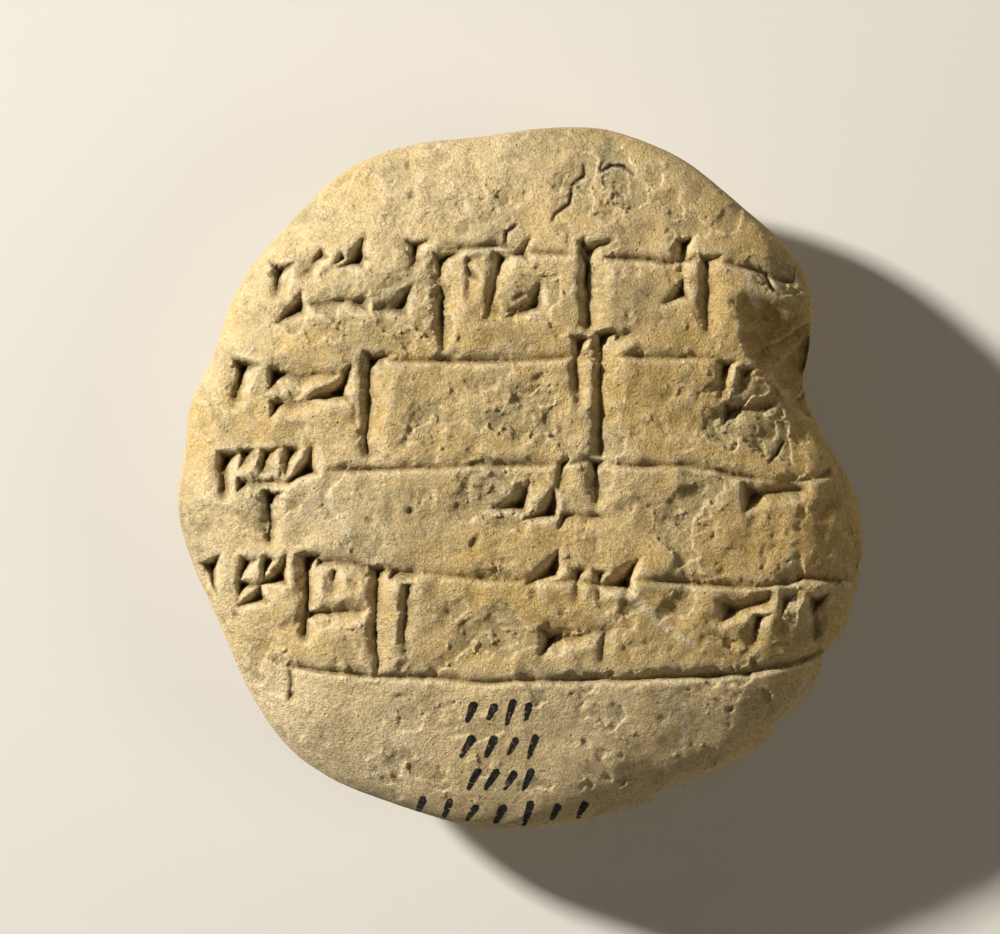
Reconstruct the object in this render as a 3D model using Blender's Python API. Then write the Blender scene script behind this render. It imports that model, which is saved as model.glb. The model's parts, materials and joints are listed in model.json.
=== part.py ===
"""Round clay writing tablet, lying on its back with the written face up.

The tablet is one lump of clay: a lens-shaped body with a hand-formed outline, rows of plain wedge strokes
impressed between ruled lines on its face, and old breaks along its rim.

Units are metres. +X runs along the rows, +Y towards the head of the text and +Z out of the written face. The
origin is on the surface that the tablet lies on, under the middle of its outline.
"""

import math
from typing import NamedTuple

import bmesh
import bpy
import numpy as np
from mathutils import Matrix, Vector

MM = 0.001

# Size of the lump
FACE_WIDTH = 80.0 * MM
FACE_LENGTH = 81.7 * MM
FACE_CROWN = 11.0 * MM
BACK_DEPTH = 15.5 * MM
FOOT_RADIUS = 13.0 * MM
FACE_FULLNESS = 3.0
BACK_FULLNESS = 2.2

# The outline: degrees round the face from +X, and the share of the ellipse's radius there
OUTLINE = (
    (0, 0.954), (6, 0.905), (13, 0.868), (19, 0.876), (25, 0.932), (31, 0.990), (38, 1.014),
    (50, 1.012), (62, 1.026), (76, 1.026), (88, 0.998), (98, 0.983), (108, 1.001), (119, 1.015),
    (134, 0.990), (148, 0.979), (159, 0.957), (167, 0.980), (176, 0.980), (185, 1.001), (195, 0.980),
    (206, 0.968), (217, 0.992), (231, 1.022), (250, 0.993), (270, 1.000), (290, 0.992), (303, 1.000),
    (312, 1.030), (324, 1.038), (345, 1.024), (354, 0.995),
)

# The ruled lines, each a row of (across, along) as shares of the half width and half length of the face
RULINGS = (
    ((-0.30, 0.610), (-0.22, 0.645), (-0.06, 0.650), (0.20, 0.625), (0.44, 0.608), (0.52, 0.622),
     (0.66, 0.596), (0.80, 0.545)),
    ((-0.42, 0.335), (-0.12, 0.330), (0.18, 0.342), (0.58, 0.339)),
    ((-0.56, 0.024), (-0.34, 0.031), (0.18, 0.045), (0.48, 0.034), (0.64, 0.008), (0.78, -0.006),
     (0.90, 0.014)),
    ((-0.36, -0.256), (-0.09, -0.284), (0.20, -0.292), (0.31, -0.284), (0.55, -0.295), (0.70, -0.306),
     (0.82, -0.286), (0.93, -0.292)),
    ((-0.68, -0.532), (-0.43, -0.554), (-0.12, -0.567), (0.23, -0.564), (0.52, -0.556), (0.64, -0.548),
     (0.77, -0.520), (0.875, -0.484)),
    ((-0.668, -0.525), (-0.662, -0.575), (-0.668, -0.630)),
)
RULING_DEPTH = 0.50 * MM
RULING_SLOPE_WIDTH = 0.70 * MM
RULING_STEP_WIDTH = 0.30 * MM
RULING_STEPS = 9
RULING_END_SHARE = 0.25
RULING_END_SLOPE = 6.0

# The rows of writing: where each starts and ends, as shares of the half length of the face
ROW_TOPS = (0.635, 0.342, 0.036, -0.278)
ROW_FEET = (0.342, 0.036, -0.278, -0.556)


class Nib(NamedTuple):
    """How hard and how wide the stylus was pressed: the wedge's head, and the tail that runs on from it."""

    head_width: float
    head_length: float
    head_depth: float
    tail_width: float
    tail_depth: float


BROAD = Nib(4.6 * MM, 3.6 * MM, 1.80 * MM, 3.0 * MM, 1.25 * MM)
PLAIN = Nib(3.5 * MM, 3.0 * MM, 1.45 * MM, 2.1 * MM, 0.90 * MM)
FINE = Nib(2.4 * MM, 2.2 * MM, 1.00 * MM, 1.4 * MM, 0.60 * MM)

# Where a pit is deepest: its shares of the pit's width along the stroke and towards its steep side
DEEPEST_ALONG = 0.22
DEEPEST_ASIDE = 0.32
HOOK_CORNER = 0.20
HEAD_ASIDE = 0.60
TAIL_OVERLAP = 0.12
TAIL_END = 0.45
CUTTER_RISE = 1.9

DOWN, RIGHT, LEFT = 270, 0, 180


class Pit(NamedTuple):
    """One flat-sided pit from above: its corners, the deep point that each falls to, and the depths there."""

    corners: tuple
    deep_points: tuple
    depths: tuple


class Break(NamedTuple):
    """A flake lost from the face: an ellipsoid's middle as shares, its height, radii, turn and tilt."""

    across: float
    along: float
    height: float
    radii: tuple
    turn: float
    tilt: float


class Nick(NamedTuple):
    """A small chip out of the rim: its place in degrees round the outline, its width and its depth."""

    degrees: float
    width: float
    depth: float


# Heights are above the rim's widest line
HOLLOW = Break(0.818, 0.318, 7.0 * MM, (9.2 * MM, 6.8 * MM, 5.6 * MM), -56.0, 30.0)
NICKS = (Nick(331, 3.0 * MM, 0.8 * MM), Nick(317.5, 2.6 * MM, 0.7 * MM), Nick(295.5, 3.0 * MM, 0.9 * MM))
NICK_HEIGHT = 10.0 * MM

# The balls that the body and the breaks are formed from
BODY_BALL = {"subdivisions": 4, "radius": 1.0}
BREAK_BALL = {"subdivisions": 3, "radius": 1.0}

FACE_BAND = -0.10
PROFILE_STEPS = 96
CLAY_COLOUR = (0.50, 0.375, 0.185, 1.0)
CLAY_ROUGHNESS = 0.9


def clear_scene():
    """Removes whatever the file holds."""
    for obj in list(bpy.data.objects):
        bpy.data.objects.remove(obj)


def outline_share(degrees):
    """The outline's share of the ellipse's radius, on a smooth closed curve through OUTLINE."""
    count = len(OUTLINE)
    angles = [a for a, _ in OUTLINE]
    shares = [s for _, s in OUTLINE]
    degrees = degrees % 360.0
    i = max(k for k in range(count) if angles[k] <= degrees)

    def knot(k):
        """Angle and share of a knot, counted on round the outline."""
        turns, place = divmod(k, count)
        return angles[place] + 360.0 * turns, shares[place]

    (a0, s0), (a1, s1), (a2, s2), (a3, s3) = (knot(i + k) for k in (-1, 0, 1, 2))
    span = a2 - a1
    leave = (s2 - s0) / (a2 - a0) * span
    arrive = (s3 - s1) / (a3 - a1) * span
    t = (degrees - a1) / span
    ends = (2 * t**3 - 3 * t**2 + 1) * s1 + (3 * t**2 - 2 * t**3) * s2
    return ends + (t**3 - 2 * t**2 + t) * leave + (t**3 - t**2) * arrive


def rise(spread, fullness):
    """Height share of the dome at a share of its radius: 1 in the middle and 0 at the rim."""
    return math.sqrt(max(0.0, 1.0 - min(1.0, spread) ** fullness))


def dome_points(height, fullness):
    """Even steps along the dome's profile from its middle to its rim, as (radius shares, height shares)."""
    sweep = np.linspace(0.0, math.pi / 2, PROFILE_STEPS)
    spread = np.sin(sweep) ** (2.0 / fullness)
    level = np.cos(sweep)
    radius = FACE_WIDTH / 2
    run = np.hypot(np.diff(spread) * radius, np.diff(level) * height)
    along = np.concatenate([[0.0], np.cumsum(run)])
    even = np.linspace(0.0, along[-1], PROFILE_STEPS)
    return np.interp(even, along, spread), np.interp(even, along, level)


def back_drop():
    """Depth that the back's full curve would reach, so that it passes the table at FOOT_RADIUS."""
    return BACK_DEPTH / rise(FOOT_RADIUS / (FACE_WIDTH / 2), BACK_FULLNESS)


def on_face(across, along):
    """A place on the face, given as shares of its half width and half length, in metres."""
    return across * FACE_WIDTH / 2, along * FACE_LENGTH / 2


def face_height(x, y):
    """Height of the unmarked face above the table."""
    across, along = x / (FACE_WIDTH / 2), y / (FACE_LENGTH / 2)
    spread = math.hypot(across, along) / outline_share(math.degrees(math.atan2(along, across)))
    return BACK_DEPTH + FACE_CROWN * rise(spread, FACE_FULLNESS)


def lump(name):
    """The unmarked lens of clay, with its flat spot on the table."""
    bm = bmesh.new()
    bmesh.ops.create_icosphere(bm, **BODY_BALL)
    face_edges = [e for e in bm.edges if all(v.co.z > FACE_BAND for v in e.verts)]
    bmesh.ops.subdivide_edges(bm, edges=face_edges, cuts=1, use_grid_fill=True)
    bmesh.ops.triangulate(bm, faces=bm.faces[:])
    front = dome_points(FACE_CROWN, FACE_FULLNESS)
    back = dome_points(back_drop(), BACK_FULLNESS)
    steps = np.linspace(0.0, 1.0, PROFILE_STEPS)
    for vert in bm.verts:
        place = vert.co.normalized()
        arc = math.acos(min(1.0, abs(place.z))) / (math.pi / 2)
        spreads, levels = front if place.z >= 0.0 else back
        spread = float(np.interp(arc, steps, spreads))
        level = float(np.interp(arc, steps, levels))
        turn = math.atan2(place.y, place.x)
        share = outline_share(math.degrees(turn)) * spread
        x, y = on_face(share * math.cos(turn), share * math.sin(turn))
        lift = FACE_CROWN * level if place.z >= 0.0 else -back_drop() * level
        vert.co = Vector((x, y, BACK_DEPTH + lift))
    geometry = bm.verts[:] + bm.edges[:] + bm.faces[:]
    bmesh.ops.bisect_plane(bm, geom=geometry, plane_co=(0, 0, 0), plane_no=(0, 0, -1), clear_outer=True)
    rim = [e for e in bm.edges if e.is_boundary]
    bmesh.ops.holes_fill(bm, edges=rim, sides=0)
    bmesh.ops.recalc_face_normals(bm, faces=bm.faces[:])
    return finished(bm, name)


def finished(bm, name):
    """A bmesh made into an object of that name."""
    mesh = bpy.data.meshes.new(name)
    bm.to_mesh(mesh)
    bm.free()
    obj = bpy.data.objects.new(name, mesh)
    bpy.context.scene.collection.objects.link(obj)
    return obj


def turned(points, degrees, x, y):
    """Points drawn for a stroke that heads down the face, turned to its heading and moved to its place."""
    turn = math.radians(degrees - DOWN)
    cos, sin = math.cos(turn), math.sin(turn)
    return tuple((x + px * cos - py * sin, y + px * sin + py * cos) for px, py in points)


def steep_side(heading):
    """Which side of a stroke is the steep one, so that it faces up the tablet: 1 for left, -1 for right."""
    turn = math.radians(heading)
    return 1.0 if math.cos(turn) + math.sin(turn) < 0.0 else -1.0


def head_pit(x, y, heading, nib):
    """The three-sided pit of a wedge's head: widest at its start, running to a point."""
    half = nib.head_width / 2
    corners = turned(((-half, 0.0), (half, 0.0), (0.0, -nib.head_length)), heading, x, y)
    aside = steep_side(heading) * DEEPEST_ASIDE * nib.head_width * HEAD_ASIDE
    deepest = turned(((aside, -DEEPEST_ALONG * nib.head_width),), heading, x, y)[0]
    return Pit(corners, (deepest,) * 3, (nib.head_depth,) * 3)


def tail_pit(x, y, heading, length, nib):
    """The trough of a wedge's tail: narrower and shallower towards its end, one of its sides steep."""
    half = nib.tail_width / 2
    start = TAIL_OVERLAP * nib.head_length
    outline = ((-half, -start), (half, -start), (half * TAIL_END, -length), (-half * TAIL_END, -length))
    aside = steep_side(heading) * DEEPEST_ASIDE * nib.tail_width
    inset = DEEPEST_ALONG * nib.tail_width
    line = ((aside, -start - inset), (aside, -start - inset), (aside * TAIL_END, inset - length))
    deep_points = turned(line + line[-1:], heading, x, y)
    depths = (nib.tail_depth,) * 2 + (nib.tail_depth * TAIL_END,) * 2
    return Pit(turned(outline, heading, x, y), deep_points, depths)


def stroke(row, across, drop, heading, length, nib):
    """A wedge with a tail. across and drop place its head in the row; length is in row heights."""
    row_height = (ROW_TOPS[row] - ROW_FEET[row]) * FACE_LENGTH / 2
    x, y = on_face(across, ROW_TOPS[row] - drop * (ROW_TOPS[row] - ROW_FEET[row]))
    return [head_pit(x, y, heading, nib), tail_pit(x, y, heading, length * row_height, nib)]


def hook(row, across, drop, turn, nib):
    """A corner wedge: a short pit with a square corner, the corner at the lower right before it is turned."""
    x, y = on_face(across, ROW_TOPS[row] - drop * (ROW_TOPS[row] - ROW_FEET[row]))
    corners = turned(((0.0, 0.0), (0.0, nib.head_length), (-nib.head_width, 0.0)), DOWN + turn, x, y)
    inside = ((-HOOK_CORNER * nib.head_width, HOOK_CORNER * nib.head_length),)
    deepest = turned(inside, DOWN + turn, x, y)[0]
    return [Pit(corners, (deepest,) * 3, (nib.head_depth,) * 3)]


def comb(row, across, drop, heading, length, nib, count, pitch):
    """Strokes side by side along the row."""
    pits = []
    for k in range(count):
        pits += stroke(row, across + k * pitch, drop, heading, length, nib)
    return pits


def first_row():
    """Slanted and level strokes at the left, tall strokes and hooks, a long upright, and a short group."""
    row = 0
    pits = stroke(row, -0.712, 0.10, DOWN - 4, 0.36, PLAIN)
    pits += comb(row, -0.574, -0.02, 226, 0.36, FINE, 3, 0.058)
    pits += hook(row, -0.455, 0.12, 0, PLAIN)
    pits += stroke(row, -0.446, 0.42, LEFT + 4, 0.66, PLAIN)
    pits += hook(row, -0.632, 0.58, 10, FINE)
    pits += stroke(row, -0.322, -0.12, DOWN, 0.34, PLAIN)
    pits += hook(row, -0.326, 0.56, -8, PLAIN)
    pits += stroke(row, -0.222, -0.02, DOWN, 0.98, BROAD)
    pits += stroke(row, -0.146, 0.04, DOWN, 0.48, FINE)
    pits += stroke(row, -0.074, 0.00, DOWN - 9, 0.68, PLAIN)
    pits += hook(row, 0.012, 0.04, -10, FINE)
    pits += hook(row, 0.058, 0.54, 6, PLAIN)
    pits += stroke(row, 0.196, -0.10, DOWN, 0.90, BROAD)
    pits += stroke(row, 0.450, -0.14, DOWN + 4, 0.36, PLAIN)
    pits += hook(row, 0.474, 0.42, 8, FINE)
    pits += stroke(row, 0.536, 0.02, DOWN, 0.80, PLAIN)
    return pits


def second_row():
    """A short upright and a boxed pair at the left, tall uprights in the middle, a level one at the right."""
    row = 1
    pits = stroke(row, -0.820, 0.02, DOWN - 10, 0.44, BROAD)
    pits += stroke(row, -0.716, 0.10, RIGHT - 3, 0.70, PLAIN)
    pits += stroke(row, -0.716, 0.40, RIGHT, 0.52, FINE)
    pits += hook(row, -0.494, 0.38, 0, BROAD)
    pits += stroke(row, -0.428, -0.04, DOWN - 3, 1.00, BROAD)
    pits += stroke(row, 0.170, -0.18, DOWN - 2, 0.68, PLAIN)
    pits += stroke(row, 0.236, -0.24, DOWN - 1, 1.22, BROAD)
    pits += stroke(row, 0.266, -0.22, RIGHT + 4, 0.28, FINE)
    pits += stroke(row, 0.566, 0.04, DOWN, 0.40, PLAIN)
    pits += stroke(row, 0.628, 0.10, DOWN - 4, 0.28, FINE)
    pits += stroke(row, 0.584, 0.45, RIGHT + 3, 0.50, PLAIN)
    return pits


def third_row():
    """A broad upright and a comb at the left, a knot of hooks in the middle, and a long level stroke."""
    row = 2
    pits = stroke(row, -0.866, -0.14, DOWN, 0.44, BROAD)
    pits += comb(row, -0.802, -0.16, DOWN - 4, 0.24, FINE, 3, 0.064)
    pits += stroke(row, -0.806, 0.12, RIGHT + 2, 0.46, FINE)
    pits += hook(row, -0.590, 0.06, 12, PLAIN)
    pits += stroke(row, -0.730, 0.22, DOWN - 3, 0.54, PLAIN)
    pits += hook(row, 0.010, 0.38, -6, PLAIN)
    pits += hook(row, 0.100, 0.44, 4, PLAIN)
    pits += stroke(row, 0.104, -0.05, DOWN, 0.34, FINE)
    pits += stroke(row, 0.214, -0.06, DOWN + 2, 0.46, PLAIN)
    pits += stroke(row, 0.110, 0.44, RIGHT + 2, 0.48, FINE)
    pits += stroke(row, 0.640, 0.17, RIGHT + 2, 0.62, BROAD)
    return pits


def fourth_row():
    """Small pits at the rim, two tall uprights, a stack of level strokes, and a last group at the right."""
    row = 3
    pits = stroke(row, -0.914, -0.14, DOWN + 22, 0.28, PLAIN)
    pits += comb(row, -0.800, -0.18, DOWN - 8, 0.20, FINE, 2, 0.060)
    pits += hook(row, -0.672, 0.04, 4, PLAIN)
    pits += stroke(row, -0.814, 0.07, RIGHT, 0.44, FINE)
    pits += hook(row, -0.742, 0.24, 6, FINE)
    pits += stroke(row, -0.632, -0.24, DOWN, 0.92, BROAD)
    pits += stroke(row, -0.590, -0.22, RIGHT - 5, 0.62, PLAIN)
    pits += stroke(row, -0.548, -0.10, DOWN, 0.36, FINE)
    pits += stroke(row, -0.618, 0.32, RIGHT + 3, 0.66, PLAIN)
    pits += stroke(row, -0.414, -0.14, DOWN, 1.14, BROAD)
    pits += stroke(row, -0.376, -0.12, RIGHT - 8, 0.36, PLAIN)
    pits += stroke(row, -0.336, 0.06, DOWN, 0.72, FINE)
    pits += hook(row, 0.104, 0.00, 6, PLAIN)
    pits += comb(row, 0.150, -0.06, DOWN, 0.36, FINE, 2, 0.066)
    pits += hook(row, 0.312, 0.14, -14, BROAD)
    pits += stroke(row, 0.056, 0.53, RIGHT + 5, 0.76, BROAD)
    pits += stroke(row, 0.224, 0.52, DOWN, 0.42, FINE)
    pits += stroke(row, 0.574, 0.24, RIGHT + 8, 0.58, BROAD)
    pits += stroke(row, 0.664, 0.36, DOWN - 8, 0.36, PLAIN)
    pits += stroke(row, 0.742, 0.22, RIGHT + 18, 0.30, FINE)
    pits += stroke(row, 0.836, 0.20, DOWN, 0.46, PLAIN)
    return pits


def pit_cutter(name, pit):
    """A pit's sides carried on above the face, as a cutter whose lowest points are the pit's deepest."""
    bm = bmesh.new()
    for corner, below, depth in zip(pit.corners, pit.deep_points, pit.depths):
        bottom = Vector((*below, face_height(*below) - depth))
        edge = Vector((*corner, face_height(*corner)))
        bm.verts.new(bottom)
        bm.verts.new(bottom + (edge - bottom) * CUTTER_RISE)
    bmesh.ops.remove_doubles(bm, verts=bm.verts[:], dist=0.0001 * MM)
    bmesh.ops.convex_hull(bm, input=bm.verts[:])
    bmesh.ops.recalc_face_normals(bm, faces=bm.faces[:])
    return finished(bm, name)


def ruling_stations(points):
    """Even steps along a ruled line: its place, the way square to it and its depth there."""
    places = [Vector((*on_face(*p), 0.0)) for p in points]
    runs = [0.0]
    for before, after in zip(places, places[1:]):
        runs.append(runs[-1] + (after - before).length)
    stations = []
    for k in range(RULING_STEPS + 1):
        share = k / RULING_STEPS
        x = float(np.interp(share * runs[-1], runs, [p.x for p in places]))
        y = float(np.interp(share * runs[-1], runs, [p.y for p in places]))
        fade = min(1.0, RULING_END_SHARE + RULING_END_SLOPE * min(share, 1.0 - share))
        stations.append((Vector((x, y, 0.0)), fade))
    return stations


def ruling_corners(stations, k):
    """A ruled line's section at a station: the bottom, the top of its slope and the top of its step."""
    place, fade = stations[k]
    ahead = stations[min(k + 1, RULING_STEPS)][0] - stations[max(k - 1, 0)][0]
    square = Vector((-ahead.y, ahead.x, 0.0)).normalized()
    bottom = place + Vector((0.0, 0.0, face_height(place.x, place.y) - RULING_DEPTH * fade))
    corners = [bottom]
    for side in (square * RULING_SLOPE_WIDTH, -square * RULING_STEP_WIDTH):
        edge = place + side * fade
        edge.z = face_height(edge.x, edge.y)
        corners.append(bottom + (edge - bottom) * CUTTER_RISE)
    return corners


def ruling_cutter(name, points):
    """A ruled line: a long groove, its upper side a gentle slope and its lower side a steep step."""
    stations = ruling_stations(points)
    bm = bmesh.new()
    sections = []
    for k in range(len(stations)):
        corners = [bm.verts.new(corner) for corner in ruling_corners(stations, k)]
        sections.append([bm.edges.new((corners[i - 1], corners[i])) for i in range(len(corners))])
    for before, after in zip(sections, sections[1:]):
        bmesh.ops.bridge_loops(bm, edges=before + after)
    bmesh.ops.holes_fill(bm, edges=sections[0] + sections[-1], sides=0)
    bmesh.ops.triangulate(bm, faces=bm.faces[:])
    bmesh.ops.recalc_face_normals(bm, faces=bm.faces[:])
    return finished(bm, name)


def ellipsoid(name, placing, radii):
    """An ellipsoid of those radii, set down by a placing matrix."""
    bm = bmesh.new()
    bmesh.ops.create_icosphere(bm, **BREAK_BALL)
    bmesh.ops.transform(bm, matrix=placing @ Matrix.Diagonal((*radii, 1.0)), verts=bm.verts[:])
    return finished(bm, name)


def hollow_cutter(lost):
    """The flake that a blow took off the face and the rim."""
    x, y = on_face(lost.across, lost.along)
    place = Matrix.Translation((x, y, BACK_DEPTH + lost.height))
    turn = Matrix.Rotation(math.radians(lost.turn), 4, "Z")
    tilt = Matrix.Rotation(math.radians(lost.tilt), 4, "X")
    return ellipsoid("hollow", place @ turn @ tilt, lost.radii)


def nick_cutter(name, nick):
    """A small chip out of the rim, as deep as the nick at the widest line."""
    turn = math.radians(nick.degrees)
    share = outline_share(nick.degrees)
    x, y = on_face(share * math.cos(turn), share * math.sin(turn))
    placing = Matrix.Translation((x, y, BACK_DEPTH)) @ Matrix.Rotation(turn, 4, "Z")
    return ellipsoid(name, placing, (nick.depth, nick.width / 2, NICK_HEIGHT / 2))


def cut_from(body, name, cutters):
    """Takes a collection of cutters out of the body and hides them."""
    group = bpy.data.collections.new(name)
    bpy.context.scene.collection.children.link(group)
    for cutter in cutters:
        bpy.context.scene.collection.objects.unlink(cutter)
        group.objects.link(cutter)
        cutter.hide_render = True
        cutter.display_type = "WIRE"
    cut = body.modifiers.new(name, "BOOLEAN")
    cut.operation = "DIFFERENCE"
    cut.solver = "EXACT"
    cut.operand_type = "COLLECTION"
    cut.collection = group


def clay():
    """Pale, dry, unglazed clay."""
    material = bpy.data.materials.new("pale_clay")
    material.use_nodes = True
    shader = material.node_tree.nodes["Principled BSDF"]
    shader.inputs["Base Color"].default_value = CLAY_COLOUR
    shader.inputs["Roughness"].default_value = CLAY_ROUGHNESS
    shader.inputs["Metallic"].default_value = 0.0
    material.diffuse_color = CLAY_COLOUR
    return material


def main():
    """Forms the lump, rules it, presses the strokes and breaks the rim."""
    clear_scene()
    tablet = lump("clay_tablet")
    tablet.data.materials.append(clay())
    lines = [ruling_cutter(f"ruling_{k + 1}", points) for k, points in enumerate(RULINGS)]
    pits = first_row() + second_row() + third_row() + fourth_row()
    strokes = [pit_cutter(f"pit_{k + 1}", pit) for k, pit in enumerate(pits)]
    cut_from(tablet, "marks", lines + strokes)
    nicks = [nick_cutter(f"nick_{k + 1}", nick) for k, nick in enumerate(NICKS)]
    cut_from(tablet, "breaks", [hollow_cutter(HOLLOW)] + nicks)


main()
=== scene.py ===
"""Looks of a round clay writing tablet, lying on its back with the written face up.

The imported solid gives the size, the outline and the place of every stroke. This script models the same
lump again as a fine mesh: impressed wedges with pushed-up lips, ruled lines, a flake scar, nicks, cracks,
dents and worn patches, and dresses it in sandy, dry clay. Lengths are metres, and +Z points out of the
written face.
"""

import json
import logging
import math
from dataclasses import dataclass, field
from enum import Enum

import bmesh
import bpy
import numpy as np
from mathutils import Euler, Matrix, Vector, noise

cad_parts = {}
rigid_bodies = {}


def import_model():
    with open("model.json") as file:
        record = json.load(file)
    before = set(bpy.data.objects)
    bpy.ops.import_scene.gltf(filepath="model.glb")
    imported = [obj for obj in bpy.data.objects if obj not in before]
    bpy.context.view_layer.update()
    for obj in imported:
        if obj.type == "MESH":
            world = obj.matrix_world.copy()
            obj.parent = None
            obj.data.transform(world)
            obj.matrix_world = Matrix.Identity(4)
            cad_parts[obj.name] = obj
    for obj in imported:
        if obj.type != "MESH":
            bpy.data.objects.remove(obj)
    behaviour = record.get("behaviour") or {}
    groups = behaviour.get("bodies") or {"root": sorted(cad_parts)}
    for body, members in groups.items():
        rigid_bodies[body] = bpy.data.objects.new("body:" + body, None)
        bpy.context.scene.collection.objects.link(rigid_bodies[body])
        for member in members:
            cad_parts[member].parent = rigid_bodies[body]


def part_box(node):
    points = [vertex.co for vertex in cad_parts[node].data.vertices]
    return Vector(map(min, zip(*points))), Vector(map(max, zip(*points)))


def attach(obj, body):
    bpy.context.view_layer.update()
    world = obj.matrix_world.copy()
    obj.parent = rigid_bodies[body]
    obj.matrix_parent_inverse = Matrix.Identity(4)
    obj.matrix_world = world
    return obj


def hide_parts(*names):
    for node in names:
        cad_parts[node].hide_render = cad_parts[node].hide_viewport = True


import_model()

log = logging.getLogger("tablet")

MM = 0.001
FRAME_SIZE = (1000, 934)
TABLET_MIDDLE = (520.5, 479.0)
PIXEL = 0.11611 * MM

Points = tuple[tuple[float, float], ...]
Numbers = tuple[float, ...]
Window = tuple[float, float, float, float]
Socket = bpy.types.NodeSocket


class Heading(Enum):
    """The way a stroke runs over the face, in degrees from +X."""

    RIGHT = 0.0
    LEFT = 180.0
    DOWN = 270.0


RIGHT, LEFT, DOWN = (heading.value for heading in Heading)


@dataclass(frozen=True)
class Nib:
    """How hard and how wide the stylus was pressed: a wedge's head and the tail that runs on from it."""

    head_width: float
    head_length: float
    head_depth: float
    tail_width: float
    tail_depth: float


class Press(Enum):
    """The three sizes of impression on the face."""

    BROAD = Nib(4.6 * MM, 3.6 * MM, 1.80 * MM, 3.0 * MM, 1.25 * MM)
    PLAIN = Nib(3.5 * MM, 3.0 * MM, 1.45 * MM, 2.1 * MM, 0.90 * MM)
    FINE = Nib(2.4 * MM, 2.2 * MM, 1.00 * MM, 1.4 * MM, 0.60 * MM)


BROAD, PLAIN, FINE = Press


class Slant(Enum):
    """Where a stroke's deepest line lies: under the side that faces the lamp, or towards the shaded side."""

    STEEP = 1.0
    OPEN = -0.2


@dataclass(frozen=True)
class Outline:
    """The hand-formed edge of the tablet, seen from above.

    Attributes:
        width: The face's width along X.
        length: The face's length along Y.
        knots: Degrees from +X and the share of the ellipse's radius there.
    """

    width: float = 80.0 * MM
    length: float = 81.7 * MM
    knots: Points = (
        (0, 0.954), (6, 0.905), (13, 0.868), (19, 0.876), (25, 0.932), (31, 0.990), (38, 1.014),
        (50, 1.012), (62, 1.026), (76, 1.026), (88, 0.998), (98, 0.983), (108, 1.001), (119, 1.015),
        (134, 0.990), (148, 0.979), (159, 0.957), (167, 0.980), (176, 0.980), (185, 1.001), (195, 0.980),
        (206, 0.968), (217, 0.992), (231, 1.022), (250, 0.993), (270, 1.000), (290, 0.992), (303, 1.000),
        (312, 1.030), (324, 1.038), (345, 1.024), (354, 0.995),
    )

    def share(self, degrees: np.ndarray) -> np.ndarray:
        """Gives the edge's distance from the middle on a smooth closed curve through the knots.

        Args:
            degrees: Directions from +X.

        Returns:
            Shares of the ellipse's radius in those directions.
        """
        angles = np.array([a for a, _ in self.knots], float)
        shares = np.array([s for _, s in self.knots], float)
        count = len(angles)
        degrees = np.mod(degrees, 360.0)
        i = np.searchsorted(angles, degrees, side="right") - 1

        def knot(k: np.ndarray) -> tuple[np.ndarray, np.ndarray]:
            """Angle and share of knots counted on round the outline."""
            turns, place = np.divmod(k, count)
            return angles[place] + 360.0 * turns, shares[place]

        (a0, s0), (a1, s1), (a2, s2), (a3, s3) = (knot(i + k) for k in (-1, 0, 1, 2))
        span = a2 - a1
        leave = (s2 - s0) / (a2 - a0) * span
        arrive = (s3 - s1) / (a3 - a1) * span
        t = (degrees - a1) / span
        ends = (2 * t**3 - 3 * t**2 + 1) * s1 + (3 * t**2 - 2 * t**3) * s2
        return ends + (t**3 - 2 * t**2 + t) * leave + (t**3 - t**2) * arrive

    def place(self, across: float, along: float) -> tuple[float, float]:
        """A place on the face in metres, from shares of its half width and half length."""
        return across * self.width / 2, along * self.length / 2


def around(points: Points, reach: float) -> Window:
    """The lowest and highest X and Y of some points, with a reach added on every side."""
    xs, ys = zip(*points)
    return min(xs) - reach, max(xs) + reach, min(ys) - reach, max(ys) + reach


@dataclass(frozen=True)
class Mark:
    """Anything pressed, drawn or worn into the face, at a place and with a heading."""

    x: float
    y: float
    heading: float

    def local(self, x: np.ndarray, y: np.ndarray) -> tuple[np.ndarray, np.ndarray]:
        """Turns places on the face into the mark's own directions.

        Args:
            x: Places along X.
            y: Places along Y.

        Returns:
            Distances to the mark's left, and distances along its heading.
        """
        turn = self.turn()
        dx, dy = x - self.x, y - self.y
        return dx * math.cos(turn) + dy * math.sin(turn), dx * math.sin(turn) - dy * math.cos(turn)

    def turn(self) -> float:
        """How far the mark is turned from one that runs straight down the face, in radians."""
        return math.radians(self.heading - DOWN)

    def steep_side(self) -> float:
        """1 where the stroke's left side is the steep one and -1 where its right side is."""
        turn = math.radians(self.heading)
        return 1.0 if math.cos(turn) + math.sin(turn) < 0.0 else -1.0

    def window(self) -> Window:
        """The lowest and highest X and Y that the mark can change."""
        raise NotImplementedError

    def carve(self, x: np.ndarray, y: np.ndarray) -> np.ndarray:
        """Works out how deep the mark is at some places, in metres."""
        raise NotImplementedError


@dataclass(frozen=True)
class Shoulders:
    """How the clay rolls into an impression.

    Attributes:
        shade_reach: How far outside a side that faces away from the stylus the roll starts.
        lit_reach: The same on the side that the stylus pushed up.
        shade_power: How late the shaded side steepens.
        lit_power: How late the lit side steepens.
    """

    shade_reach: float = 0.40 * MM
    lit_reach: float = 0.70 * MM
    shade_power: float = 1.55
    lit_power: float = 1.45

    def side(self, inside: np.ndarray, fall: np.ndarray | float, lit: bool) -> np.ndarray:
        """Works out one side of an impression.

        Args:
            inside: Distances in from the side's edge.
            fall: The distance in at which the side is deepest.
            lit: Whether it is the side that the stylus pushed up.

        Returns:
            Shares of the full depth.
        """
        reach = self.lit_reach if lit else self.shade_reach
        power = self.lit_power if lit else self.shade_power
        return np.clip((inside + reach) / (fall + reach), 0.0, 1.0) ** power


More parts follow.
